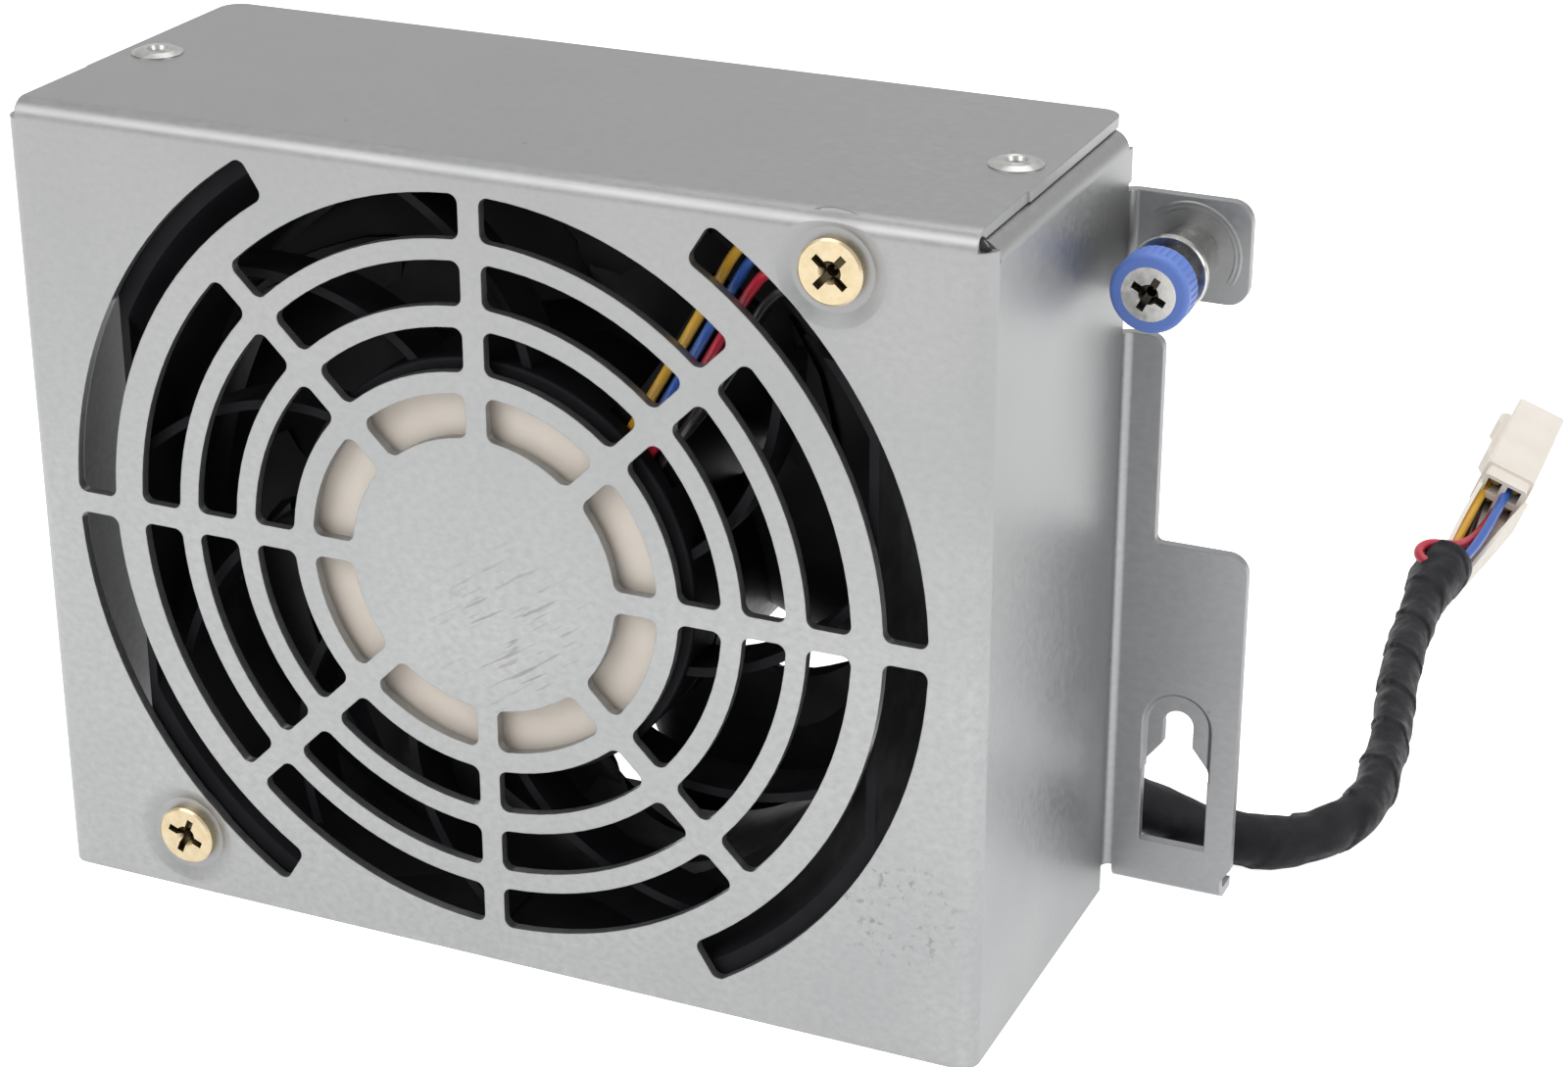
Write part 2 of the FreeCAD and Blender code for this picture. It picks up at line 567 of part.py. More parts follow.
def fan_frame():
    """Closed square frame round the duct, with the fixed hub in its front mouth."""
    half = FAN_SIZE / 2
    inside = half - FRAME_WALL
    shape = box(-half, half, FAN_Y0, FAN_Y1, FAN_Z - half, FAN_Z + half)
    shape = shape.makeFillet(FAN_CORNER_R, edges_along(shape, Y_AXIS))
    mouths = flare().common(box(-inside, inside, FAN_Y0 - 1, FAN_Y1 + 1, FAN_Z - inside, FAN_Z + inside))
    shape = shape.cut([cyl_y(DUCT_R, FAN_Y0 - 1, FAN_Y1 + 1), mouths])
    for sx in (-1, 1):
        for sz in (-1, 1):
            x = sx * FAN_PITCH / 2
            z = FAN_Z + sz * FAN_PITCH / 2
            shape = shape.cut([corner_pocket(sx, sz), cyl_y(FAN_HOLE_R, FAN_Y0 - 1, FAN_Y1 + 1, x, z)])
    shape = shape.cut(wire_way())
    return shape.fuse(hub_base())


def hub_base():
    """Fixed hub: shallow cup held in the duct by swept struts, with the bearing sleeve's seat."""
    y0 = FAN_Y0 + HUB_RECESS
    y1 = y0 + HUB_DEPTH
    rim = ring_y(HUB_R, HUB_R - HUB_WALL, y0, y1)
    front_edge = [e for e in rim.Edges if e.Curve.TypeId == "Part::GeomCircle"
                  and e.CenterOfMass.y < y0 + 0.1 and e.Curve.Radius > HUB_R - 0.1]
    rim = rim.makeFillet(HUB_EDGE, front_edge)
    plate = cyl_y(HUB_R - HUB_WALL + 0.5, y0 + LABEL_T, y0 + LABEL_T + HUB_WALL)
    seat = ring_y(SLEEVE_R + 1.5, SLEEVE_R, y0 + 1, y1)
    shape = rim.fuse([plate, seat])
    step = 360.0 / STRUTS
    for i in range(1, STRUTS):
        angle = WIRE_STRUT_ANGLE + i * step
        strut = strut_profile(angle, y0 + 0.8, y0 + 0.8 + STRUT_DEPTH, STRUT_T, STRUT_SWEEP)
        shape = shape.fuse(strut)
    shape = shape.fuse(strut_profile(WIRE_STRUT_ANGLE, y0 + 3.8, y0 + 5.0, 7.2, 6.0))
    return shape.cut(wire_exit())


def wire_exit():
    """Window in the hub rim for the leads, beside the label."""
    y0 = FAN_Y0 + HUB_RECESS
    way = box(HUB_R - 5, HUB_R + 0.1, y0 + 2.0, y0 + 3.8, -WIRE_EXIT_HALF, WIRE_EXIT_HALF)
    way.rotate(V(0, 0, 0), Y_AXIS, -WIRE_STRUT_ANGLE + WIRE_EXIT_TURN)
    way.translate(V(0, 0, FAN_Z))
    return way


# ---- Motor ------------------------------------------------------------------------------------

def motor_levels():
    """Y positions shared by the motor's pieces."""
    base = FAN_Y0 + HUB_RECESS + LABEL_T + HUB_WALL
    levels = {"base": base}
    levels["board"] = base + 2.0
    levels["clip"] = base + 2.0 - CLIP_T - 0.4
    levels["core"] = base + 9.0
    levels["rotor_front"] = FAN_Y0 + HUB_RECESS + HUB_DEPTH + ROTOR_GAP
    levels["rotor_rear"] = FAN_Y1 - 1.2
    levels["sleeve_end"] = levels["core"] + CORE_H + 7.0
    return levels


def bearing_sleeve():
    at = motor_levels()
    sleeve = ring_y(SLEEVE_R, SLEEVE_R - SLEEVE_WALL, at["base"], at["sleeve_end"])
    stop = ring_y(SLEEVE_R - SLEEVE_WALL + 0.1, SHAFT_R + 0.8, at["base"] + BEARING_H + 2.0,
                  at["sleeve_end"] - BEARING_H)
    return sleeve.fuse(stop)


def bearing(y0):
    """Ball bearing: both races with the shield between them."""
    outer = SLEEVE_R - SLEEVE_WALL
    inner = SHAFT_R + 0.03
    shape = ring_y(outer, inner, y0, y0 + BEARING_H)
    groove = ring_y(outer - 0.7, inner + 0.6, y0 - 1, y0 + 0.25)
    return shape.cut([groove, ring_y(outer - 0.7, inner + 0.6, y0 + BEARING_H - 0.25, y0 + BEARING_H + 1)])


def stator_core():
    """Stack of laminations: a ring on the sleeve and four T-shaped teeth."""
    y0 = motor_levels()["core"]
    y1 = y0 + CORE_H
    shape = ring_y(SLEEVE_R + 3.0, SLEEVE_R, y0, y1)
    shoe = ring_y(CORE_R, CORE_R - SHOE_T, y0, y1)
    for i in range(4):
        tooth = box(SLEEVE_R + 2.0, CORE_R - 1.0, y0, y1, -2.6, 2.6)
        tooth.rotate(V(0, 0, 0), Y_AXIS, 90 * i)
        tooth.translate(V(0, 0, FAN_Z))
        shape = shape.fuse(tooth)
        gap = box(SLEEVE_R + 4.0, CORE_R + 1, y0 - 1, y1 + 1, -1.4, 1.4)
        gap.rotate(V(0, 0, 0), Y_AXIS, 90 * i + 45)
        gap.translate(V(0, 0, FAN_Z))
        shoe = shoe.cut(gap)
    return shape.fuse(shoe)


def winding(i):
    """Coil on one tooth: a rounded frame about the tooth."""
    y0 = motor_levels()["core"] - (COIL_H - CORE_H) / 2
    x0 = SLEEVE_R + 3.4
    x1 = CORE_R - SHOE_T - 0.2
    coil = box(x0, x1, y0, y0 + COIL_H, -4.4, 4.4)
    coil = coil.makeFillet(1.6, edges_along(coil, V(1, 0, 0)))
    coil = coil.cut(box(x0 - 1, x1 + 1, y0 + (COIL_H - CORE_H) / 2, y0 + (COIL_H + CORE_H) / 2, -2.6, 2.6))
    coil.rotate(V(0, 0, 0), Y_AXIS, 90 * i)
    coil.translate(V(0, 0, FAN_Z))
    clear = ring_y(CORE_R - SHOE_T, SLEEVE_R + 3.0, y0 - 1, y0 + COIL_H + 1)
    return coil.common(clear)


def circuit_board():
    at = motor_levels()
    board_r = HUB_R - HUB_WALL - BOARD_GAP
    rear = at["board"] + BOARD_T
    board = ring_y(board_r, SLEEVE_R + 1.5, at["board"], rear)
    chip_x = (board_r + SLEEVE_R - CHIP_L) / 2
    chip = box(chip_x, chip_x + CHIP_L, rear, rear + CHIP_H, FAN_Z - CHIP_W / 2, FAN_Z + CHIP_W / 2)
    cap = cyl_y(CAP_R, rear, rear + CAP_H, -(board_r + SLEEVE_R) / 2, FAN_Z + CAP_R)
    foot = ring_y(board_r, board_r - 1.4, at["base"], at["board"])
    return board.fuse([chip, cap, foot]).cut(wire_exit())


def hub_label():
    y0 = FAN_Y0 + HUB_RECESS
    return cyl_y(LABEL_R, y0, y0 + LABEL_T)


def impeller():
    """Rotor hub cup with its twisted blades."""
    at = motor_levels()
    y0 = at["rotor_front"]
    y1 = at["rotor_rear"]
    cup = cyl_y(ROTOR_R, y0, y1)
    rim = [e for e in cup.Edges if e.Curve.TypeId == "Part::GeomCircle" and e.CenterOfMass.y > y1 - 0.1]
    cup = cup.makeFillet(2.2, rim)
    cup = cup.cut(cyl_y(ROTOR_R - ROTOR_WALL, y0 - 1, y1 - 2.4))
    cup = cup.cut(cyl_y(SHAFT_R, y1 - 5, y1 + 1))
    boss = ring_y(SHAFT_R + 2.5, SHAFT_R, y1 - 4.4, y1 - 1.0)
    cup = cup.fuse(boss)
    blades = [blade(i * 360.0 / BLADES) for i in range(BLADES)]
    return cup.fuse(blades)


def blade_section(r, turn, chord, camber, thick, y_mid):
    """Closed curved section in the plane x = r, leaning by turn degrees from the axis."""
    upper = []
    lower = []
    steps = 6
    for i in range(steps + 1):
        u = i / steps
        along = (u - 0.5) * chord
        bow = 4 * camber * u * (1 - u)
        half = 0.5 * thick * (0.3 + 0.7 * math.sin(math.pi * min(1.0, 0.15 + 0.85 * u)))
        for side, points in ((1, upper), (-1, lower)):
            s = bow + side * half
            a = math.radians(turn)
            across = along * math.sin(a) + s * math.cos(a)
            y = y_mid + along * math.cos(a) - s * math.sin(a)
            points.append(V(r, y, -across))
    top = Part.BSplineCurve()
    top.interpolate(upper)
    low = Part.BSplineCurve()
    low.interpolate(lower)
    nose = Part.makeLine(lower[0], upper[0])
    tail = Part.makeLine(upper[-1], lower[-1])
    return Part.Wire(Part.__sortEdges__([nose, top.toShape(), tail, low.toShape()]))


def blade(angle):
    at = motor_levels()
    y_mid = (at["rotor_front"] + at["rotor_rear"]) / 2 + 0.5
    tip = DUCT_R - TIP_GAP
    mid = (ROTOR_R + tip) / 2
    rows = [
        (ROTOR_R - 4.5, 48, 34.0, 3.4, BLADE_T + 0.3, 0.0),
        (mid, 58, 40.0, 3.0, BLADE_T, BLADE_SWEEP_MID),
        (tip + 2.5, 66, 45.0, 2.4, BLADE_T - 0.3, BLADE_SWEEP_TIP),
    ]
    sections = []
    for r, turn, chord, camber, thick, swept in rows:
        section = blade_section(r, turn, chord, camber, thick, y_mid)
        section.rotate(V(0, 0, 0), Y_AXIS, -swept)
        sections.append(section)
    solid = Part.makeLoft(sections, True, False)
    solid.rotate(V(0, 0, 0), Y_AXIS, angle - BLADE_PHASE)
    solid.translate(V(0, 0, FAN_Z))
    sweep = ring_y(tip, ROTOR_R - 0.6, at["rotor_front"] + 1.5, at["rotor_rear"] - 2.3)
    return solid.common(sweep)


def yoke():
    """Steel cup pressed in the rotor hub."""
    at = motor_levels()
    outer = ROTOR_R - ROTOR_WALL
    y1 = at["rotor_rear"] - 2.4
    cup = ring_y(outer, outer - YOKE_T, at["rotor_front"] + 1.0, y1)
    return cup.fuse(ring_y(outer, SHAFT_R + 2.5, y1 - YOKE_T, y1))


def magnet():
    at = motor_levels()
    outer = ROTOR_R - ROTOR_WALL - YOKE_T
    y0 = at["rotor_front"] + 1.5
    return ring_y(outer, CORE_R + AIR_GAP, y0, at["core"] + CORE_H + 4.0)


def shaft():
    """Steel shaft with the groove for its clip near the front end."""
    at = motor_levels()
    body = cyl_y(SHAFT_R, at["clip"] - 0.4, at["rotor_rear"] - 0.6)
    return body.cut(ring_y(SHAFT_R + 1, SHAFT_R - 0.4, at["clip"], at["clip"] + CLIP_T))


def shaft_clip():
    """Open ring that keeps the shaft from leaving its bearings."""
    at = motor_levels()
    clip = ring_y(SHAFT_R + 1.1, SHAFT_R - 0.4, at["clip"], at["clip"] + CLIP_T)
    return clip.cut(box(0, 6, at["clip"] - 1, at["clip"] + 2, FAN_Z - 0.9, FAN_Z + 0.9))


# ---- Thumbscrew ---------------------------------------------------------------------------------

def ferrule_levels():
    """Y positions of the captive screw's pieces along its axis."""
    levels = {"sheet": TRAY_D - SHEET}
    levels["rim"] = TRAY_D - SHEET - FERRULE_LEN
    levels["floor"] = TRAY_D - FERRULE_WALL
    levels["knob_rear"] = levels["rim"] - KNOB_GAP
    levels["knob_front"] = levels["knob_rear"] - KNOB_LEN
    return levels


def ferrule():
    """Barrel clinched in the tab, open to the front, with a rim at its mouth."""
    at = ferrule_levels()
    shank = FERRULE_R - 0.5
    profile = [
        (THREAD_R + RUN_GAP, TRAY_D + FERRULE_CLINCH_H), (THREAD_R + RUN_GAP, at["floor"]),
        (FERRULE_BORE_R, at["floor"]), (FERRULE_BORE_R, at["rim"]), (FERRULE_RIM_R - 0.2, at["rim"]),
        (FERRULE_RIM_R, at["rim"] + 0.2), (FERRULE_RIM_R, at["rim"] + FERRULE_RIM_H),
        (FERRULE_R, at["rim"] + FERRULE_RIM_H + 0.3), (FERRULE_R, at["sheet"]), (shank, at["sheet"]),
        (shank, TRAY_D), (FERRULE_CLINCH_R, TRAY_D), (FERRULE_CLINCH_R - 0.3, TRAY_D + FERRULE_CLINCH_H),
    ]
    return revolve_y(profile, THUMB_Z, THUMB_X)


def thumb_screw():
    """Screw of the captive thumbscrew: insert head, neck, plain shank and thread."""
    at = ferrule_levels()
    y_tip = TRAY_D + 0.4
    neck_end = at["rim"] + 0.2
    core = THREAD_R - 0.3
    profile = [(0, at["knob_front"]), (INSERT_R, at["knob_front"]), (INSERT_R, at["knob_rear"]),
               (NECK_R, at["knob_rear"]), (NECK_R, neck_end), (core, neck_end), (core, at["floor"] - 1.0)]
    y = at["floor"] - 1.0
    while y < y_tip - 0.7:
        profile += [(THREAD_R, y + 0.2), (core, y + 0.4)]
        y += 0.5
    profile += [(core - 0.3, y_tip), (0, y_tip)]
    shape = revolve_y(profile, THUMB_Z, THUMB_X)
    recess = cross_recess(THUMB_X, THUMB_Z, at["knob_front"], 2.05, 0.42, 2.2)
    return shape.cut(turned(recess, THUMB_X, THUMB_Z, 28))


def thumb_cap():
    """Knurled plastic cap moulded on the screw's head."""
    at = ferrule_levels()
    y0 = at["knob_front"]
    y1 = at["knob_rear"]
    shape = ring_y(KNOB_R, INSERT_R, y0, y1, THUMB_X, THUMB_Z)
    rounded = [e for e in shape.Edges if e.Curve.TypeId == "Part::GeomCircle" and e.Curve.Radius > KNOB_R - 0.1]
    shape = shape.makeFillet(0.55, rounded)
    cuts = []
    for i in range(KNURLS):
        a = 2 * math.pi * i / KNURLS
        x = THUMB_X + (KNOB_R + 0.05) * math.cos(a)
        z = THUMB_Z + (KNOB_R + 0.05) * math.sin(a)
        cuts.append(cyl_y(0.2, y0 + 0.9, y1 + 1, x, z))
    return shape.cut(cuts)


def thumb_washer():
    at = ferrule_levels()
    y0 = at["rim"] + 0.2
    return ring_y(FERRULE_BORE_R - RUN_GAP, THREAD_R - 0.3 + RUN_GAP, y0, y0 + WASHER_H, THUMB_X, THUMB_Z)


def thumb_spring():
    """Return spring between the ferrule's floor and the washer."""
    at = ferrule_levels()
    y0 = at["rim"] + 0.2 + WASHER_H + SPRING_WIRE / 2 + 0.02
    y1 = at["floor"] - SPRING_WIRE / 2 - 0.02
    mean = (FERRULE_BORE_R + THREAD_R - 0.3) / 2
    coils = 4.5
    helix = Part.makeHelix((y1 - y0) / coils, y1 - y0, mean)
    section = Part.Wire(Part.Edge(Part.Circle(V(mean, 0, 0), V(0, 1, 0), SPRING_WIRE / 2)))
    shape = Part.Wire(helix).makePipeShell([section], True, True)
    shape.rotate(V(0, 0, 0), V(1, 0, 0), -90)
    shape.translate(V(THUMB_X, y0, THUMB_Z))
    return shape


# ---- Cable -----------------------------------------------------------------------------------------

def route_tube(points, radius, name):
    """Tube along straight runs joined by tangent arcs; each arc fills 0.45 of its shorter run."""
    pts = [V(*p) for p in points]
    edges = []
    radii = []
    start = pts[0]
    length = 0.0
    for i in range(1, len(pts) - 1):
        before = pts[i].sub(pts[i - 1])
        after = pts[i + 1].sub(pts[i])
        cut = 0.45 * min(before.Length, after.Length)
        turn = before.getAngle(after)
        radii.append(cut / math.tan(turn / 2))
        a = pts[i].sub(V(before).normalize().multiply(cut))
        b = pts[i].add(V(after).normalize().multiply(cut))
        inward = V(after).normalize().sub(V(before).normalize()).normalize()
        sag = radii[-1] / math.cos(turn / 2) - radii[-1]
        middle = pts[i].add(inward.multiply(sag))
        edges += [Part.makeLine(start, a), Part.Arc(a, middle, b).toShape()]
        start = b
    edges.append(Part.makeLine(start, pts[-1]))
    path = Part.Wire(edges)
    way = pts[1].sub(pts[0])
    section = Part.Wire(Part.Edge(Part.Circle(pts[0], way, radius)))
    tube = path.makePipeShell([section], True, True)
    wanted = math.pi * radius ** 2 * path.Length
    print("cord %-16s length %.1f radii %s volume/wanted %.4f" % (
        name, path.Length, [round(r, 1) for r in radii], tube.Volume / wanted))
    return tube


def lead(name):
    """Lead from the circuit board through the hub's window and the notch to the cable's end face."""
    end = V(*CABLE_ROUTE[0])
    way = V(*CABLE_ROUTE[1]).sub(end).normalize()
    side, depth = LEAD_SIDES[name]
    level = V(0, -way.z, way.y)
    last = end.add(V(side * WIRE_SPREAD, 0, 0)).add(V(level).multiply(depth * WIRE_SPREAD))
    before = last.sub(V(way).multiply(6.0))
    points = [(x, y, FAN_Z + z) for x, y, z in LEAD_ROUTES[name]]
    return points + [(before.x, before.y, before.z), (last.x, last.y, last.z)]


def place_plug(shape):
    """The plug lies tipped over on its right-hand lower edge, nearly in line with Y."""
    shape.rotate(V(0, 0, 0), Y_AXIS, PLUG_ROLL)
    shape.rotate(V(0, 0, 0), V(0, 0, 1), PLUG_TURN)
    shape.translate(V(PLUG_X, PLUG_Y, PLUG_W / 2 * math.sin(math.radians(PLUG_ROLL)) + 0.02))
    return shape


def plug_point(x, y, z):
    """Point given along the plug's own axes, in the part's frame."""
    marker = place_plug(Part.Vertex(V(x, y, z)))
    return (marker.Point.x, marker.Point.y, marker.Point.z)


def cavity_place(name):
    side, level = TAIL_ROUTES[name][-1]
    return side * CAVITY_PITCH / 2, PLUG_H / 2 + level * CAVITY_PITCH / 2


def tail(name):
    """Wire from the cable's rear end face to its cavity in the plug."""
    end = CABLE_ROUTE[-1]
    dx, dz = TAIL_ROUTES[name][0]
    cx, cz = cavity_place(name)
    entry = plug_point(cx, 3.0, cz)
    before = plug_point(cx, -3.5, cz)
    start = (end[0] + dx, end[1] + TAIL_GAP, end[2] + dz)
    points = [start]
    for share, bow_x, bow_z in TAIL_ROUTES[name][1:3]:
        x, y, z = [a + (b - a) * share for a, b in zip(start, before)]
        points.append((x + bow_x, y, z + bow_z))
    return points + [before, entry]


def plug_housing():
    """Four-way crimp housing: stepped body, rear skirt, cavities, latch and keying rib."""
    w = PLUG_W / 2
    body = box(-w, w, PLUG_SKIRT, PLUG_LEN, 0, PLUG_H)
    body = body.makeFillet(0.6, edges_along(body, Y_AXIS))
    far = [e for e in body.Edges if abs(e.CenterOfMass.y - PLUG_LEN) < 0.01]
    body = body.makeFillet(0.4, far)
    skirt = box(-w + 0.5, w - 0.5, 0, PLUG_SKIRT + 0.5, 0.45, PLUG_H - 0.45)
    skirt = skirt.makeFillet(0.5, edges_along(skirt, Y_AXIS))
    mid = PLUG_H / 2
    arm = prism([(-w + 0.2, 9.0, mid - 1.6), (-w - 0.9, 11.0, mid - 1.6), (-w - 0.9, 22.5, mid - 1.6),
                 (-w - 1.5, 23.5, mid - 1.6), (-w - 1.5, 26.2, mid - 1.6), (-w - 0.6, 27.6, mid - 1.6),
                 (-w + 0.2, 27.6, mid - 1.6)], (0, 0, 3.2))
    key_depth = (PLUG_W - 0.5 - KEY_RIB_W) * math.tan(math.radians(PLUG_ROLL)) - 0.05
    rib = box(-w + 0.5, -w + 0.5 + KEY_RIB_W, 6.5, PLUG_LEN - 3.0, -key_depth, 1.0)
    shape = body.fuse([skirt, arm, rib])
    for name in WIRE_NAMES:
        x, z = cavity_place(name)
        half = CAVITY / 2
        shape = shape.cut(box(x - half, x + half, -1, PLUG_LEN + 1, z - half, z + half))
    return place_plug(shape)


def terminal(name):
    """Crimp terminal: socket box at the front of its cavity, barrel round the lead behind."""
    x, z = cavity_place(name)
    half = CAVITY / 2
    front = box(x - half, x + half, 15.0, PLUG_LEN - 1.5, z - half, z + half)
    front = front.cut(box(x - half + 0.3, x + half - 0.3, 16.0, PLUG_LEN, z - half + 0.3, z + half - 0.3))
    barrel = cyl_y(WIRE_R + 0.25, 3.0, 15.0, x, z)
    return place_plug(front.fuse(barrel))


def main():
    os.makedirs("parts", exist_ok=True)
    save(tray(), "tray")
    save(rivet(-1), "rivet_left")
    save(rivet(1), "rivet_right")
    for (name, x, z), angle in zip(screw_places(), (42, 22)):
        save(fan_screw(x, z, angle), "fan_screw_" + name)
    at = motor_levels()
    save(fan_frame(), "fan_frame")
    save(hub_label(), "hub_label")
    save(bearing_sleeve(), "bearing_sleeve")
    save(bearing(at["base"] + 2.0), "bearing_front")
    save(bearing(at["sleeve_end"] - BEARING_H), "bearing_rear")
    save(stator_core(), "stator_core")
    for i in range(4):
        save(winding(i), "winding_%d" % (i + 1))
    save(circuit_board(), "circuit_board")
    save(impeller(), "impeller")
    save(yoke(), "rotor_yoke")
    save(magnet(), "rotor_magnet")
    save(shaft(), "shaft")
    save(shaft_clip(), "shaft_clip")
    save(ferrule(), "thumb_ferrule")
    save(thumb_screw(), "thumb_screw")
    save(thumb_cap(), "thumb_cap")
    save(thumb_washer(), "thumb_washer")
    save(thumb_spring(), "thumb_spring")
    save(route_tube(CABLE_ROUTE, CABLE_R, "cable"), "cable")
    for name in WIRE_NAMES:
        save(route_tube(lead(name), WIRE_R, "lead_" + name), "lead_" + name)
        save(route_tube(tail(name), WIRE_R, "tail_" + name), "tail_" + name)
        save(terminal(name), "terminal_" + name)
    save(plug_housing(), "plug_housing")
    for row in REPORT:
        print(*row)


main()
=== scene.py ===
"""Looks of the server fan module: camera, light, materials, the taped cable and small details.

Metres throughout, in the CAD model's frame: X along the front panel, Y into the tray, Z up.
"""
import json
import math

import bmesh
import bpy
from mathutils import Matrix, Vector, noise


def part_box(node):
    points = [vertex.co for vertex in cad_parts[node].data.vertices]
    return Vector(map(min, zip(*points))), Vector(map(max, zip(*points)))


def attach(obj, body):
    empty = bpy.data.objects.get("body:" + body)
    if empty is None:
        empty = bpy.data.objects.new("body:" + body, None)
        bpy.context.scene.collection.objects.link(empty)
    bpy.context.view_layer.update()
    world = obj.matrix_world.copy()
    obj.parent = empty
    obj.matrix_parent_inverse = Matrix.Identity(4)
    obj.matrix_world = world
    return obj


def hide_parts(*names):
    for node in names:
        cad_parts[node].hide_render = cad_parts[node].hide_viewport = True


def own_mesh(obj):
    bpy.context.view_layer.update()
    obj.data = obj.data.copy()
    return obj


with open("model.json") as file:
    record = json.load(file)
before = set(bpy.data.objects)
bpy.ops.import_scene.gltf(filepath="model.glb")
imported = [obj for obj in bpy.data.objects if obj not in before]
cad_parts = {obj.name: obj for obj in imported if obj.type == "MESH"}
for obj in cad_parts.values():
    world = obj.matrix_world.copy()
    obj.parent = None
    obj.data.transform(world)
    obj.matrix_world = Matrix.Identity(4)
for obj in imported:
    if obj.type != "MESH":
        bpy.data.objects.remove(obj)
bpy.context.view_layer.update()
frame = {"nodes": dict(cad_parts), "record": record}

MM = 0.001
FAN_Z = 0.0484

# ---- Camera, floor and light -------------------------------------------------------------
CAMERA_EYE = (0.1638, -0.2906, 0.2015)
CAMERA_TARGET = (0.0305, 0.0135, 0.0624)
CAMERA_LENS = 76.7
CAMERA_SHIFT = (-0.0018, -0.0479)
FLOOR_HALF = 4.0
FLOOR_GLOW = 0.88
FLOOR_GAP = 0.0001
WORLD_LIGHT = 0.5
# Name, place, point aimed at, size in metres and power in watts.
LAMPS = [
    ("key", (-0.5, -0.9, 0.9), (0, 0, 0.05), 0.9, 7.0),
    ("side", (0.9, -0.1, 0.5), (0.05, 0.02, 0.05), 0.6, 2.6),
    ("top", (0.1, 0.3, 1.1), (0, 0.02, 0.09), 0.9, 4.5),
]

# ---- Marks and painted shade of the sheet: places in metres ------------------------------
# Painted shade: the flange is darker between the X places, the sheet darker towards the top between
# the Z places.
FLANGE_SHADE_X = (0.0572, 0.0600)
TOP_SHADE_Z = (0.045, 0.098)
RUB_AT = (0.004, 0, FAN_Z - 0.0065)
SCUFF_AT = (0.049, 0, 0.018)

# ---- Cable: the route and thickness of the CAD tube --------------------------------------
CABLE_D = 0.0056
CABLE_EXIT = (0.0516, 0.0090, 0.0735)
CABLE_ROUTE = [
    CABLE_EXIT, (0.0516, 0.0125, 0.0635), (0.0516, 0.0176, 0.0534), (0.0516, 0.0238, 0.0432),
    (0.0516, 0.0310, 0.0325), (0.0518, 0.0378, 0.0226), (0.0532, 0.0446, 0.0148),
    (0.0572, 0.0496, 0.0096), (0.0623, 0.0530, 0.0062), (0.0690, 0.0546, 0.0036),
    (0.0762, 0.0572, 0.0029), (0.0817, 0.0633, 0.0029), (0.0836, 0.0718, 0.0029),
    (0.0828, 0.0815, 0.0029), (0.0810, 0.0933, 0.0029), (0.0786, 0.1053, 0.0029),
    (0.0768, 0.1180, 0.0029), (0.0757, 0.1312, 0.0029), (0.0755, 0.1445, 0.0029),
]
TAPE_PITCH = 0.011
TAPE_STEP = 0.00028

# ---- Wires between the tape's end and the plug -------------------------------------------
WIRE_D = 0.0014
TAIL_ROUTES = {
    "yellow": [(0.0750, 0.1430, 0.0022), (0.0750, 0.1480, 0.0020), (0.0750, 0.1545, 0.0027),
               (0.0754, 0.1620, 0.0044), (0.0757, 0.1700, 0.0060)],
    "blue": [(0.0775, 0.1430, 0.0040), (0.0783, 0.1480, 0.0040), (0.0788, 0.1545, 0.0044),
             (0.0790, 0.1620, 0.0052), (0.0790, 0.1700, 0.0056)],
    "red": [(0.0745, 0.1395, 0.0054), (0.0728, 0.1398, 0.0058), (0.0721, 0.1424, 0.0060),
            (0.0730, 0.1450, 0.0060), (0.0752, 0.1462, 0.0056), (0.0770, 0.1505, 0.0042),
            (0.0777, 0.1590, 0.0030), (0.0779, 0.1700, 0.0028)],
    "black": [(0.0765, 0.1430, 0.0018), (0.0765, 0.1480, 0.0016), (0.0763, 0.1545, 0.0016),
              (0.0756, 0.1620, 0.0026), (0.0751, 0.1700, 0.0038)],
}

# ---- Plug's channel: each pair is the value at the wires' end and its change to the plug -
PLUG_ROLL = 21.0
TROUGH_X = (0.0763, 0.0008)
TROUGH_Y = (0.1447, 0.0228)
TROUGH_HALF = (0.0023, 0.0016)
TROUGH_HIGH = (0.0019, 0.0031)
TROUGH_WALL = 0.0006

# ---- Thumbscrew: spring, and arcs pressed into the tab (radius and height in mm) ---------
SPRING_TURNS = 5
SPRING_WIRE_R = 0.00018
SPRING_CLEAR = 0.00002
CLINCH_AND_SHEET = 0.0018
ARC_ENDS = (-38, 140)
ARC_SINK = 0.02
ARC_PROFILE = [
    (5.0, -0.02), (5.15, 0.07), (5.3, 0.10), (5.45, 0.05),
    (5.6, 0.05), (5.75, 0.10), (5.9, 0.07), (6.05, -0.02),
]

# ---- Impeller blades: places along Y in mm, and the tip's radius in metres ---------------
# Sections: radius (mm), turn (degrees), chord and camber (mm), sweep (degrees).
BLADES = 7
BLADE_PHASE = 50.1
BLADE_MID = 24.2
BLADE_Y0 = 12.2
BLADE_Y1 = 37.2
BLADE_TIP = 0.0432
BLADE_THICK = 0.0011
BLADE_ROWS = [
    (24.6, 61.8, 29.8, 3.4, 0.0), (35.0, 70.0, 60.0, 3.0, 9.0), (45.8, 68.7, 56.9, 2.4, 16.9),
]


# ---- Small helpers -----------------------------------------------------------------------
def add_object(name, data, body="module"):
    """A new object that rides on a CAD body."""
    made = bpy.data.objects.new(name, data)
    bpy.context.scene.collection.objects.link(made)
    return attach(made, body)


